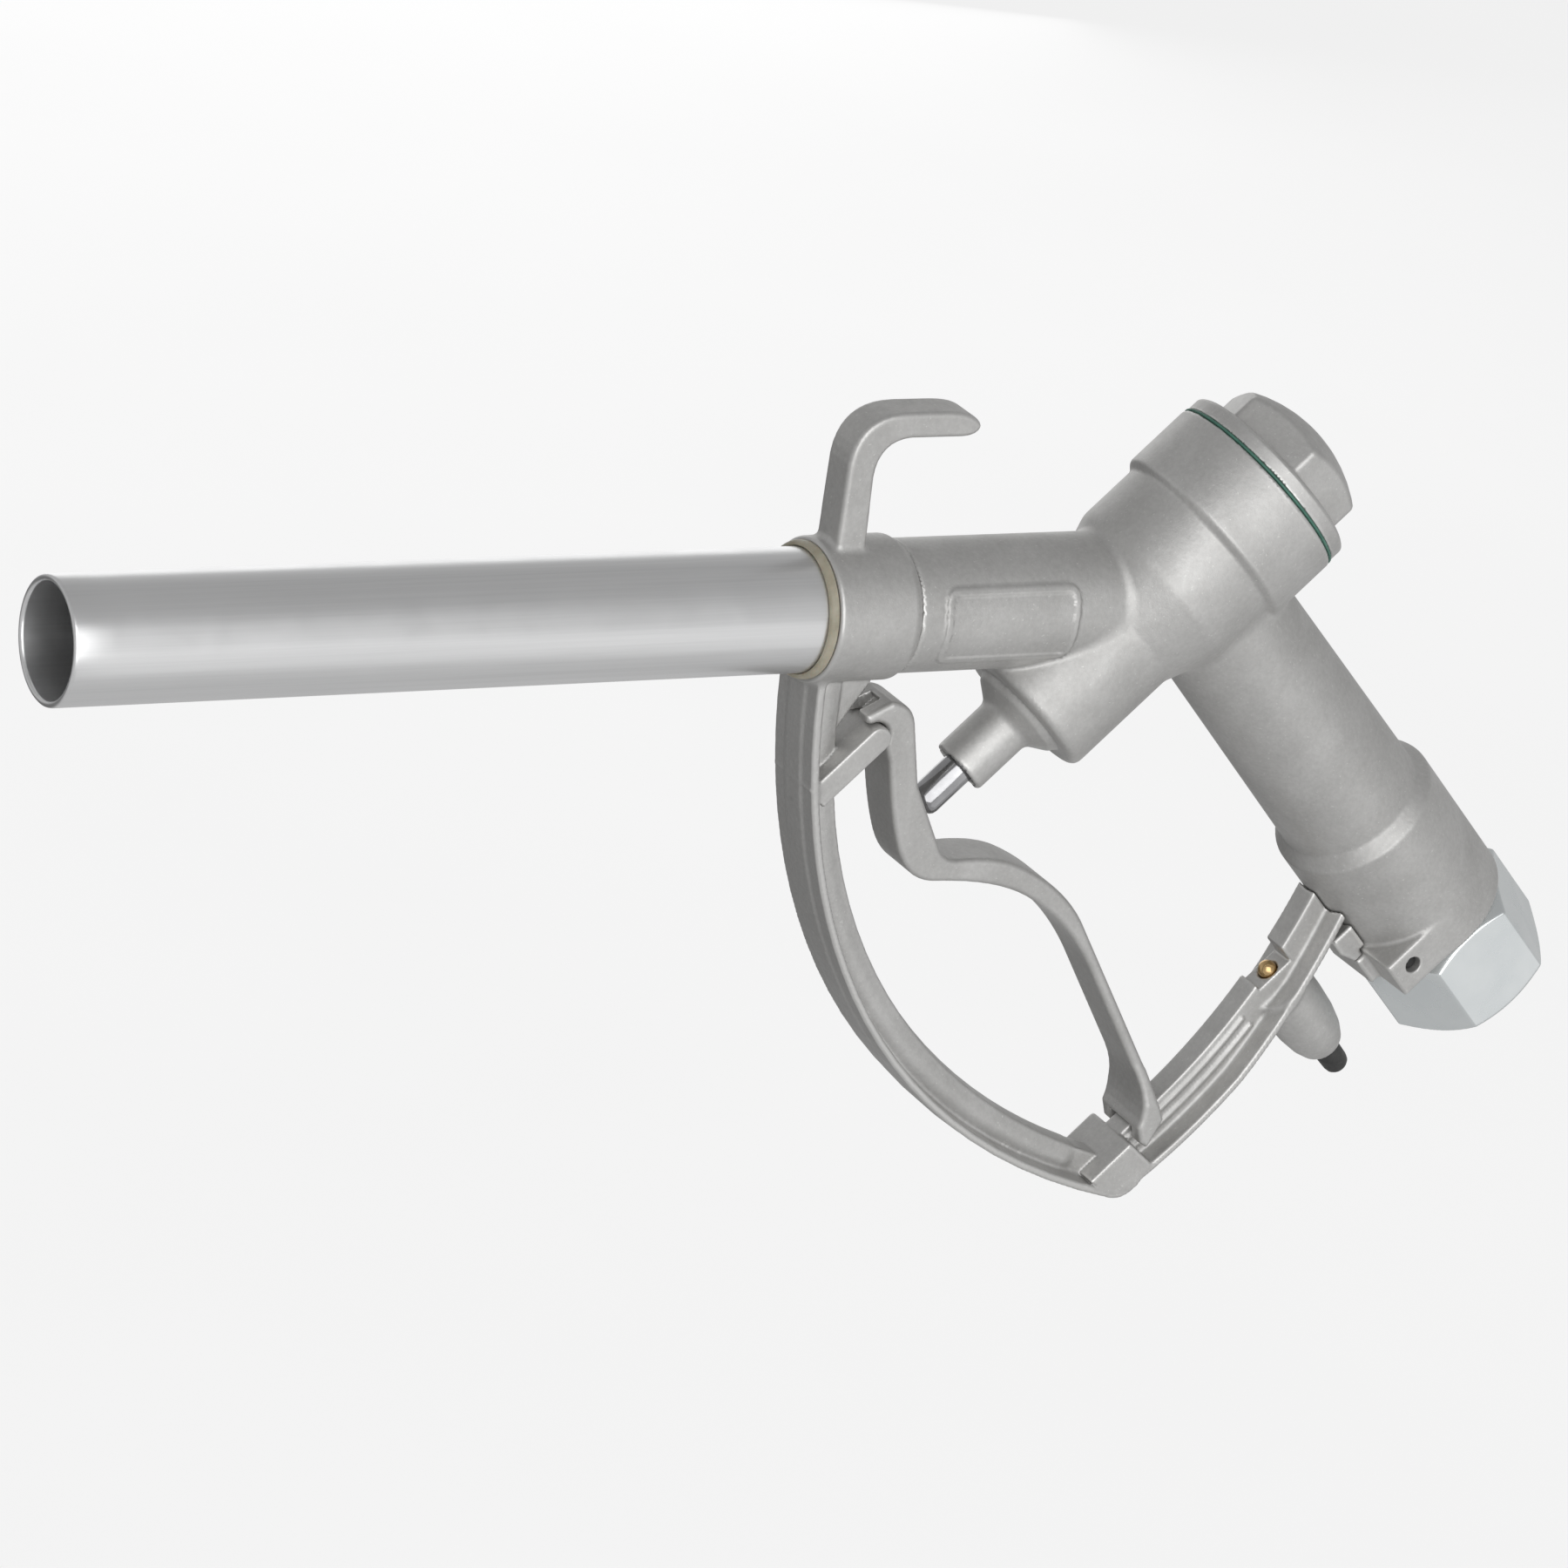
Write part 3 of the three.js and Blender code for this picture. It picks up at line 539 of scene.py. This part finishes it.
# ---- valve cap, hose connector and screw -----------------------------------------------------------------
def cap_shape():
    """The valve cap: a flanged plug under a hexagonal crown cut to a large dome."""
    start, top, apex, dome = (CAP[key] for key in ("start", "top", "apex", "dome"))
    flange = lathe(VALVE_AXIS, filleted([
        (0, start, 0), (24.4, start, 0.3), (24.4, top - 0.8, 0.9), (23.2, top, 0.8), (0, top, 0),
    ]))
    plug = lathe(VALVE_AXIS, rectangle((0, 20.4), (27, 40)))
    arch = [(r, apex - dome + math.sqrt(dome**2 - r**2)) for r in (22, 20, 18, 15, 12, 9, 6, 3, 0)]
    crown = hexagonal(VALVE_AXIS, CAP["half_flats"], [(0, top - 0.4), (22, top - 0.4)] + arch, 0.7)
    pocket = lathe(VALVE_AXIS, rectangle((0, 12.5), (20, 41.6)))

    def distance(x, y, z):
        solid = joined(flange(x, y, z), plug(x, y, z))
        solid = joined(solid, crown(x, y, z), 1.1)
        return overlap(solid, -pocket(x, y, z), 0.3)

    return distance


def connector_shape():
    """The hose connector: a hexagonal nut with an inlet thread, on a grooved shank."""
    start, end, step = HEX["start"], HEX["end"], HEX["step"]
    nut = hexagonal(HANDLE_AXIS, HEX["half_flats"], filleted([
        (0, start, 0), (19.3, start, 0.3), (22.9, start + 2.5, 0.3), (22.9, end - 2.5, 0.3),
        (19.3, end, 0.4), (0, end, 0),
    ]), 0.45)
    shank = lathe(HANDLE_AXIS, [
        (10.8, 88), (14.8, 88), (15.8, 89), (15.8, 96), (13.4, 96), (13.4, 99.4), (15.8, 99.4),
        (15.8, 113.55), (12.9, 113.55), (12.9, 118.35), (15.8, 118.35), (15.8, start + 2), (10.8, start + 2),
    ])
    flow = lathe(HANDLE_AXIS, rectangle((0, 10.8), (80, step + 1)))

    def thread(x, y, z):
        side, along = HANDLE_AXIS.split(x, z)
        turns = along / 2.3 + np.arctan2(y, side) / (2 * math.pi)
        fade = np.clip((along - step - 3) / 1.5, 0, 1)
        radius = HEX["inlet"] + 0.55 * fade * (1 + np.cos(2 * math.pi * turns))
        mouth = np.maximum(along - end + 1.6, 0)
        return overlap(np.hypot(side, y) - radius - mouth, step - along)

    def distance(x, y, z):
        solid = joined(nut(x, y, z), shank(x, y, z), 0.4)
        solid = overlap(solid, -flow(x, y, z), 0.2)
        return overlap(solid, -thread(x, y, z), 0.3)

    return distance


def screw_shape():
    """The socket-head screw that holds the guard's foot."""
    radius, height = SCREW["head"], SCREW["height"]
    corners = [(0, -height, 0), (radius, -height, 0.4), (radius, 0, 0.2), (0, 0, 0)]
    head = lathe(SCREW_AXIS, filleted(corners))
    shank = lathe(SCREW_AXIS, rectangle((0, 2), (-1, 5.8)))
    socket = hexagonal(SCREW_AXIS, 1.386, rectangle((0, 5), (-4, 1 - height)), 0.05)

    def distance(x, y, z):
        solid = joined(head(x, y, z), shank(x, y, z), 0.2)
        return overlap(solid, -socket(x, y, z), 0.15)

    return distance


# ---- meshes ----------------------------------------------------------------------------------------------
def gradient(shape, points, reach):
    """The slope of a shape's distance at some points, measured over a small reach."""
    slopes = []
    for i in range(3):
        offset = np.zeros(3, np.float32)
        offset[i] = reach
        high, low = shape(*(points + offset).T), shape(*(points - offset).T)
        slopes.append((high - low) / (2 * reach))
    return np.stack(slopes, 1)


def meshed(name, shape, step):
    """A mesh of a distance shape, looked for around its CAD node, with its points on the surface."""
    low, high = [np.array(corner) * 1000 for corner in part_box(name)]
    low += (ORIGIN[0], 0, ORIGIN[1])
    high += (ORIGIN[0], 0, ORIGIN[1])
    spans = [np.arange(a - 3 * step, b + 4 * step, step, np.float32) for a, b in zip(low, high)]
    x, y, z = np.meshgrid(*spans, indexing="ij", sparse=True)
    field = np.clip(shape(x, y, z), -3 * step, 3 * step).astype(np.float32)
    grid = openvdb.FloatGrid(3 * step)
    grid.copyFromArray(field)
    points, faces = grid.convertToQuads(isovalue=0)
    points = (points * step + [span[0] for span in spans]).astype(np.float32)
    for _ in range(3):
        slope = gradient(shape, points, 0.05)
        steep = np.maximum((slope**2).sum(1), 0.25)
        move = np.clip(shape(*points.T) / steep, -step / 2, step / 2)
        points -= move[:, None] * slope
    normals = gradient(shape, points, 0.4 * step)
    normals /= np.maximum(np.linalg.norm(normals, axis=1), 1e-6)[:, None]
    corner = points[faces]
    facing = np.cross(corner[:, 2] - corner[:, 0], corner[:, 3] - corner[:, 1])
    if (facing * normals[faces[:, 0]]).sum() < 0:
        faces = faces[:, ::-1]
    mesh = bpy.data.meshes.new(name)
    mesh.from_pydata(place(points), [], faces.tolist())
    mesh.shade_smooth()
    mesh.normals_split_custom_set_from_vertices(normals)
    return mesh


def lathed(name, axis, profile, segments=96):
    """A mesh turned about an axis from (radius, along) points; a profile off the axis is a ring."""
    solid = profile[0][0] == 0
    rows = profile[1:-1] if solid else profile
    angles = np.arange(segments) * 2 * math.pi / segments
    points = []
    for radius, along in rows:
        for angle in angles:
            x, z = axis.point(radius * math.cos(angle), along)
            points.append((x, radius * math.sin(angle), z))
    faces = []
    for row in range(len(rows) - 1 if solid else len(rows)):
        a, b = row * segments, (row + 1) % len(rows) * segments
        for k in range(segments):
            n = (k + 1) % segments
            faces.append((a + k, a + n, b + n, b + k))
    if solid:
        for end, row in ((profile[0], 0), (profile[-1], len(rows) - 1)):
            x, z = axis.point(0, end[1])
            points.append((x, 0, z))
            for k in range(segments):
                rim = (row * segments + k, row * segments + (k + 1) % segments)
                faces.append((len(points) - 1, *(rim if row else rim[::-1])))
    mesh = bpy.data.meshes.new(name)
    mesh.from_pydata(place(points), [], faces)
    mesh.shade_smooth()
    mesh.set_sharp_from_angle(angle=math.radians(50))
    return mesh


def piece(mesh, name, material):
    """Shows a mesh in place of the CAD node with that name, riding on the same body."""
    made = bpy.data.objects.new("look_" + name, mesh)
    bpy.context.scene.collection.objects.link(made)
    mesh.materials.append(material)
    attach(made, frame["nodes"][name]["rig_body"])
    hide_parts(name)


# ---- materials -------------------------------------------------------------------------------------------
def node(tree, kind, settings=None, **inputs):
    """Adds a shader node. Inputs are values or other nodes' outputs, with _ for a space in a name."""
    made = tree.nodes.new("ShaderNode" + kind)
    for key, value in (settings or {}).items():
        setattr(made, key, value)
    for key, value in inputs.items():
        socket = made.inputs[key.replace("_", " ")]
        if isinstance(value, bpy.types.NodeSocket):
            tree.links.new(value, socket)
        else:
            socket.default_value = value
    return made


def noise(tree, position, scale, detail=3.0, roughness=0.55, distortion=0.0):
    """A noise texture's value, with about scale features to each unit of the position."""
    made = node(tree, "TexNoise", Vector=position, Scale=scale, Detail=detail, Roughness=roughness)
    made.inputs["Distortion"].default_value = distortion
    return made.outputs["Fac"]


def ramp(tree, factor, stops):
    """A colour ramp with (position, colour) stops; a number is a grey."""
    made = node(tree, "ValToRGB", Fac=factor)
    elements = made.color_ramp.elements
    while len(elements) < len(stops):
        elements.new(0.5)
    for element, (position, colour) in zip(elements, stops):
        element.position = position
        element.color = (*colour, 1) if isinstance(colour, tuple) else (colour, colour, colour, 1)
    return made.outputs["Color"]


def mix(tree, factor, a, b, blend="MIX"):
    """Two colours mixed. Each input is a number, a colour or another node's output."""
    made = node(tree, "Mix", {"data_type": "RGBA", "blend_type": blend})
    for socket, value in zip((made.inputs[0], made.inputs[6], made.inputs[7]), (factor, a, b)):
        if isinstance(value, bpy.types.NodeSocket):
            tree.links.new(value, socket)
        elif isinstance(value, tuple):
            socket.default_value = (*value, 1)
        else:
            socket.default_value = value
    return made.outputs[2]


def new_material(name):
    """A material with its tree, its Principled shader and its object coordinates."""
    made = bpy.data.materials.new(name)
    made.use_nodes = True
    tree = made.node_tree
    tree.nodes.clear()
    shader = node(tree, "BsdfPrincipled")
    node(tree, "OutputMaterial", Surface=shader.outputs[0])
    position = node(tree, "TexCoord").outputs["Object"]
    return made, tree, shader, position


def connect(tree, shader, **sources):
    """Links outputs to the shader's inputs, with _ for a space in an input's name."""
    for key, source in sources.items():
        tree.links.new(source, shader.inputs[key.replace("_", " ")])


def relief(tree, layers):
    """Stacked bump maps from (height, strength, distance in metres) layers."""
    normal = None
    for height, strength, distance in layers:
        made = node(tree, "Bump", Strength=strength, Distance=distance, Height=height)
        if normal:
            tree.links.new(normal, made.inputs["Normal"])
        normal = made.outputs["Normal"]
    return normal


def edges(tree, low, high):
    """0 on flat faces and 1 on worn outer edges."""
    sharp = node(tree, "NewGeometry").outputs["Pointiness"]
    return ramp(tree, sharp, [(low, 0.0), (high, 1.0)])


def cast_aluminium():
    """Bright, sandy as-cast aluminium with worn edges."""
    made, tree, shader, position = new_material("cast_aluminium")
    patches = noise(tree, position, 55, 5, 0.6, 0.4)
    sand = noise(tree, position, 900, 3, 0.65)
    grit = noise(tree, position, 2600, 2, 0.6)
    specks = noise(tree, position, 1500, 1, 0.4)
    tone = ramp(tree, patches, [(0.3, (0.585, 0.58, 0.568)), (0.7, (0.695, 0.69, 0.678))])
    tone = mix(tree, 0.35, tone, ramp(tree, sand, [(0.25, 0.62), (0.75, 1.0)]), "MULTIPLY")
    bright = ramp(tree, specks, [(0.7, 0.0), (0.78, 0.55)])
    tone = mix(tree, bright, tone, (0.82, 0.82, 0.8))
    worn = edges(tree, 0.515, 0.58)
    tone = mix(tree, worn, tone, (0.74, 0.735, 0.72))
    gloss = ramp(tree, patches, [(0.3, 0.56), (0.7, 0.47)])
    gloss = mix(tree, worn, gloss, (0.34, 0.34, 0.34))
    bump = relief(tree, [(patches, 0.25, 0.0006), (sand, 0.22, 0.00022), (grit, 0.3, 0.00008)])
    connect(tree, shader, Base_Color=tone, Roughness=gloss, Normal=bump)
    shader.inputs["Metallic"].default_value = 0.82
    return made


def spout_aluminium():
    """Drawn aluminium with lines along the tube."""
    made, tree, shader, position = new_material("spout_aluminium")
    along = node(tree, "Mapping", Vector=position, Scale=(4, 260, 260)).outputs[0]
    fine = node(tree, "Mapping", Vector=position, Scale=(14, 1500, 1500)).outputs[0]
    bands, lines = noise(tree, along, 1, 4, 0.6), noise(tree, fine, 1, 2, 0.6)
    marks = noise(tree, position, 70, 4, 0.6, 0.5)
    tone = ramp(tree, bands, [(0.3, (0.84, 0.843, 0.847)), (0.7, (0.91, 0.912, 0.916))])
    tone = mix(tree, 0.2, tone, ramp(tree, lines, [(0.3, 0.75), (0.7, 1.0)]), "MULTIPLY")
    tone = mix(tree, edges(tree, 0.52, 0.6), tone, (0.86, 0.86, 0.87))
    worn = ramp(tree, marks, [(0.3, 0.26), (0.7, 0.38)])
    gloss = mix(tree, 0.5, ramp(tree, bands, [(0.3, 0.36), (0.7, 0.27)]), worn)
    bump = relief(tree, [(bands, 0.08, 0.0003), (lines, 0.12, 0.00006)])
    connect(tree, shader, Base_Color=tone, Roughness=gloss, Normal=bump)
    shader.inputs["Metallic"].default_value = 0.95
    return made


def zinc_plate():
    """Bright, bluish zinc plating, slightly clouded."""
    made, tree, shader, position = new_material("zinc_plate")
    clouds = noise(tree, position, 60, 4, 0.6, 0.6)
    fine = noise(tree, position, 1100, 3, 0.6)
    tone = ramp(tree, clouds, [(0.3, (0.8, 0.84, 0.85)), (0.7, (0.88, 0.91, 0.915))])
    tone = mix(tree, edges(tree, 0.55, 0.65), tone, (0.88, 0.9, 0.9))
    gloss = ramp(tree, clouds, [(0.3, 0.3), (0.7, 0.22)])
    bump = relief(tree, [(clouds, 0.1, 0.0004), (fine, 0.08, 0.00006)])
    connect(tree, shader, Base_Color=tone, Roughness=gloss, Normal=bump)
    shader.inputs["Metallic"].default_value = 0.85
    return made


def machined(name, dark, light, roughness):
    """A turned metal with fine machining lines and a little variation."""
    made, tree, shader, position = new_material(name)
    clouds = noise(tree, position, 180, 3, 0.6)
    lines = noise(tree, position, 2600, 2, 0.5)
    tone = mix(tree, edges(tree, 0.52, 0.62), ramp(tree, clouds, [(0.3, dark), (0.7, light)]), light)
    gloss = ramp(tree, clouds, [(0.3, roughness * 1.3), (0.7, roughness * 0.8)])
    connect(tree, shader, Base_Color=tone, Roughness=gloss, Normal=relief(tree, [(lines, 0.06, 0.00004)]))
    shader.inputs["Metallic"].default_value = 1
    return made


def rubber(name, dark, light, roughness, subsurface=0.0):
    """A moulded elastomer with a dusty mottle and a fine skin."""
    made, tree, shader, position = new_material(name)
    clouds, skin = noise(tree, position, 240, 4, 0.6), noise(tree, position, 1800, 3, 0.6)
    tone = ramp(tree, clouds, [(0.3, dark), (0.7, light)])
    gloss = ramp(tree, clouds, [(0.3, roughness), (0.7, roughness * 0.75)])
    bump = relief(tree, [(clouds, 0.3, 0.0002), (skin, 0.3, 0.00008)])
    connect(tree, shader, Base_Color=tone, Roughness=gloss, Normal=bump)
    shader.inputs["Subsurface Weight"].default_value = subsurface
    shader.inputs["Subsurface Scale"].default_value = 0.001
    return made


def woven_strainer():
    """Steel wire cloth: the product of two sine waves, with painted shade in the openings between the wires.
    """
    made, tree, shader, position = new_material("woven_strainer")
    wires = []
    for direction in ((1400, 0, 1400), (0, 2000, 0)):
        turned = node(tree, "VectorMath", {"operation": "DOT_PRODUCT"}).inputs
        tree.links.new(position, turned[0])
        turned[1].default_value = direction
        wave = node(tree, "Math", {"operation": "SINE"})
        tree.links.new(turned[0].node.outputs["Value"], wave.inputs[0])
        wires.append(wave.outputs[0])
    weave = node(tree, "Math", {"operation": "MULTIPLY"})
    for wire, socket in zip(wires, weave.inputs):
        tree.links.new(wire, socket)
    # The near-black end of this ramp is painted shade, standing in for the shaded openings between the wires.
    tone = ramp(tree, weave.outputs[0], [(0.2, (0.06, 0.06, 0.06)), (0.6, (0.6, 0.6, 0.58))])
    connect(tree, shader, Base_Color=tone, Normal=relief(tree, [(weave.outputs[0], 0.6, 0.0002)]))
    shader.inputs["Metallic"].default_value = 0.9
    shader.inputs["Roughness"].default_value = 0.35
    return made


MATERIALS = {
    "casting": cast_aluminium(),
    "spout_aluminium": spout_aluminium(),
    "zinc_steel": zinc_plate(),
    "steel": machined("bright_steel", (0.38, 0.38, 0.39), (0.5, 0.5, 0.51), 0.12),
    "dark_steel": machined("dark_steel", (0.04, 0.04, 0.04), (0.08, 0.08, 0.08), 0.4),
    "brass": machined("turned_brass", (0.62, 0.4, 0.17), (0.78, 0.56, 0.3), 0.22),
    "green_rubber": rubber("green_rubber", (0.055, 0.16, 0.12), (0.09, 0.24, 0.18), 0.5),
    "black_rubber": rubber("black_rubber", (0.028, 0.028, 0.028), (0.06, 0.06, 0.058), 0.55),
    "sealant": rubber("sealant", (0.34, 0.31, 0.23), (0.46, 0.43, 0.34), 0.45, 0.15),
}
STRAINER = woven_strainer()

# ---- pieces ----------------------------------------------------------------------------------------------
# Distance shapes: the CAD node's name, the shape, the mesh's step in millimetres and the material.
SHAPES = [
    ("body_casting", body_shape(), 0.75, "casting"),
    ("guard_casting", guard_shape(), 0.65, "casting"),
    ("lever", lever_shape(), 0.6, "casting"),
    ("valve_cap", cap_shape(), 0.55, "casting"),
    ("swivel_connector", connector_shape(), 0.5, "zinc_steel"),
    ("guard_screw", screw_shape(), 0.2, "steel"),
]

# Turned pieces: the CAD node's name, the axis, the material and the (radius, along) profile.
TURNED = [
    ("spout_tube", SPOUT_AXIS, "spout_aluminium", [
        (13, 0.9), (13.1, 0.4), (13.4, 0.1), (13.75, 0), (14.1, 0.1), (14.4, 0.4), (14.5, 0.9),
        *[(14.5, t) for t in range(10, 210, 10)], (14.5, 212), (13, 212), (13, 232), (11.5, 232),
        (11.5, 204), (13, 202), *[(13, t) for t in range(190, 9, -20)],
    ]),
    ("spout_gasket", SPOUT_AXIS, "sealant", [
        (14.6, 189.8), (14.6, 188.1), (14.9, 187.8), (15.4, 187.9), (15.8, 188.3), (16, 189),
        (16, 189.8),
    ]),
    ("cap_ring_seal", VALVE_AXIS, "green_rubber", [
        (20.9, 37.5), (24.4, 37.5), (24.65, 37.65), (24.7, 37.8), (24.65, 37.95), (24.4, 38.1),
        (20.9, 38.1),
    ]),
    ("valve_stem", VALVE_AXIS, "steel", [
        (0, -72.8), (1.5, -72.75), (2.6, -72.5), (3.3, -72), (3.8, -71.3), (4, -70.3),
        (4, -60), (4, 12), (3.4, 12.6), (0, 12.6),
    ]),
    ("latch_pin", LATCH_AXIS, "brass", [
        (0, 0.6), (0.6, 0.68), (1.2, 0.95), (1.7, 1.4), (2.1, 2), (2.35, 2.7), (2.4, 3.4), (2.4, 28),
        (3.9, 28), (3.9, 30), (1.6, 30), (1.6, 38), (0, 38),
    ]),
    ("latch_button", LATCH_AXIS, "black_rubber", [
        (0, 38.4), (1.9, 38.4), (1.9, 30.4), (3.3, 30.4), (3.4, 30.8), (3.4, 36), (3.25, 40.8),
        (3, 42), (2.5, 42.7), (1.7, 43), (0, 43.1),
    ]),
    ("inlet_gasket", HANDLE_AXIS, "black_rubber", [
        (11.4, 132.8), (11.7, 132.6), (14.5, 132.6), (14.8, 132.8), (14.8, 134.8), (14.5, 135),
        (11.7, 135), (11.4, 134.8),
    ]),
    ("gland_ring", VALVE_AXIS, "steel", [(4.2, -59), (5.6, -59), (5.7, -58.8), (5.7, -57.4), (4.2, -57.4)]),
]

# CAD nodes that are shown with their own mesh, in one of the materials.
KEPT = {
    "main_spring": "steel", "valve_seat": "brass", "poppet_seal": "black_rubber", "poppet_disc": "brass",
    "poppet_nut": "steel", "stem_seal_upper": "black_rubber", "stem_seal_lower": "black_rubber",
    "stem_bush": "brass", "latch_spring": "steel", "latch_retaining_ring": "steel",
    "swivel_seal": "black_rubber", "swivel_pin": "dark_steel",
}

for name, shape, step, finish in SHAPES:
    piece(meshed(name, shape, step), name, MATERIALS[finish])
for name, axis, finish, profile in TURNED:
    piece(lathed(name, axis, profile), name, MATERIALS[finish])
strainer = [
    (0, 104), (9.2, 104), (10.2, 131.3), (14.8, 131.3), (14.8, 132.3), (9.6, 132.3), (8.6, 104.8),
    (0, 104.8),
]
piece(lathed("inlet_strainer", HANDLE_AXIS, strainer), "inlet_strainer", STRAINER)
for name, finish in KEPT.items():
    materials = frame["nodes"][name].data.materials
    materials.clear()
    materials.append(MATERIALS[finish])

# ---- stage -----------------------------------------------------------------------------------------------
FLOOR_DROP = 0.45


def stage():
    """A wide pale floor, which gloss doesn't pick up, below the nozzle."""
    bpy.ops.mesh.primitive_plane_add(size=30, location=(0, 0, -FLOOR_DROP))
    floor = bpy.context.object
    floor.name = "floor"
    made, tree, shader, position = new_material("pale_floor")
    tone = ramp(tree, noise(tree, position, 3, 3), [(0.3, 0.28), (0.7, 0.3)])
    connect(tree, shader, Base_Color=tone)
    shader.inputs["Roughness"].default_value = 0.9
    shader.inputs["Emission Color"].default_value = (1, 1, 1, 1)
    shader.inputs["Emission Strength"].default_value = 0.74
    floor.data.materials.append(made)
    floor.visible_glossy = False
    floor.visible_diffuse = False


def sky():
    """Soft grey surroundings: dim overhead, lighter at the level of the eye, with a dark flag low
    behind the spout that the front of the guard reflects."""
    world = bpy.data.worlds.new("studio")
    bpy.context.scene.world = world
    world.use_nodes = True
    tree = world.node_tree
    tree.nodes.clear()
    direction = node(tree, "TexCoord").outputs["Generated"]
    height = node(tree, "SeparateXYZ", Vector=direction).outputs["Z"]
    spread = node(tree, "MapRange", Value=height, From_Min=-1, From_Max=1).outputs[0]
    tone = ramp(tree, spread, [(0.0, 0.5), (0.3, 0.53), (0.5, 0.52), (0.72, 0.42), (1.0, 0.33)])
    facing = node(tree, "VectorMath", {"operation": "DOT_PRODUCT"})
    tree.links.new(direction, facing.inputs[0])
    facing.inputs[1].default_value = Vector((-0.33, 0.77, -0.54)).normalized()
    flag = ramp(tree, facing.outputs["Value"], [(0.75, 1.0), (0.95, 0.25)])
    tone = mix(tree, 1.0, tone, flag, "MULTIPLY")
    background = node(tree, "Background", Color=tone, Strength=1.0)
    node(tree, "OutputWorld", Surface=background.outputs[0])


def softbox(name, direction, distance, size, power):
    """A square area light in a direction from the nozzle's middle, facing it."""
    low, high = cad_box
    middle = (low + high) / 2
    towards = Vector(direction).normalized()
    data = bpy.data.lights.new(name, "AREA")
    data.size = size
    data.energy = power
    lamp = bpy.data.objects.new(name, data)
    bpy.context.scene.collection.objects.link(lamp)
    lamp.location = middle + towards * distance
    lamp.visible_camera = False
    lamp.rotation_mode = "QUATERNION"
    lamp.rotation_quaternion = towards.to_track_quat("Z", "Y")


def camera():
    """The camera, at the nozzle's near side, a little above and ahead of it."""
    data = bpy.data.cameras.new("camera")
    data.sensor_width = 36
    data.lens = 161.52
    data.clip_start = 0.1
    data.clip_end = 60
    made = bpy.data.objects.new("camera", data)
    bpy.context.scene.collection.objects.link(made)
    made.location = (-1.04906, -1.25297, 0.66237)
    made.rotation_euler = [math.radians(angle) for angle in (67.917, -9.883, -29.769)]
    bpy.context.scene.camera = made


stage()
sky()
softbox("front_softbox", (-0.25, -0.9, 0.3), 2.3, 2.3, 27)
softbox("side_softbox", (0.5, -0.75, -0.3), 2.3, 1.8, 2.3)
softbox("back_softbox", (0.3, 0.9, 0.1), 2.4, 1.5, 5)
camera()
bpy.context.scene.view_settings.view_transform = "Standard"
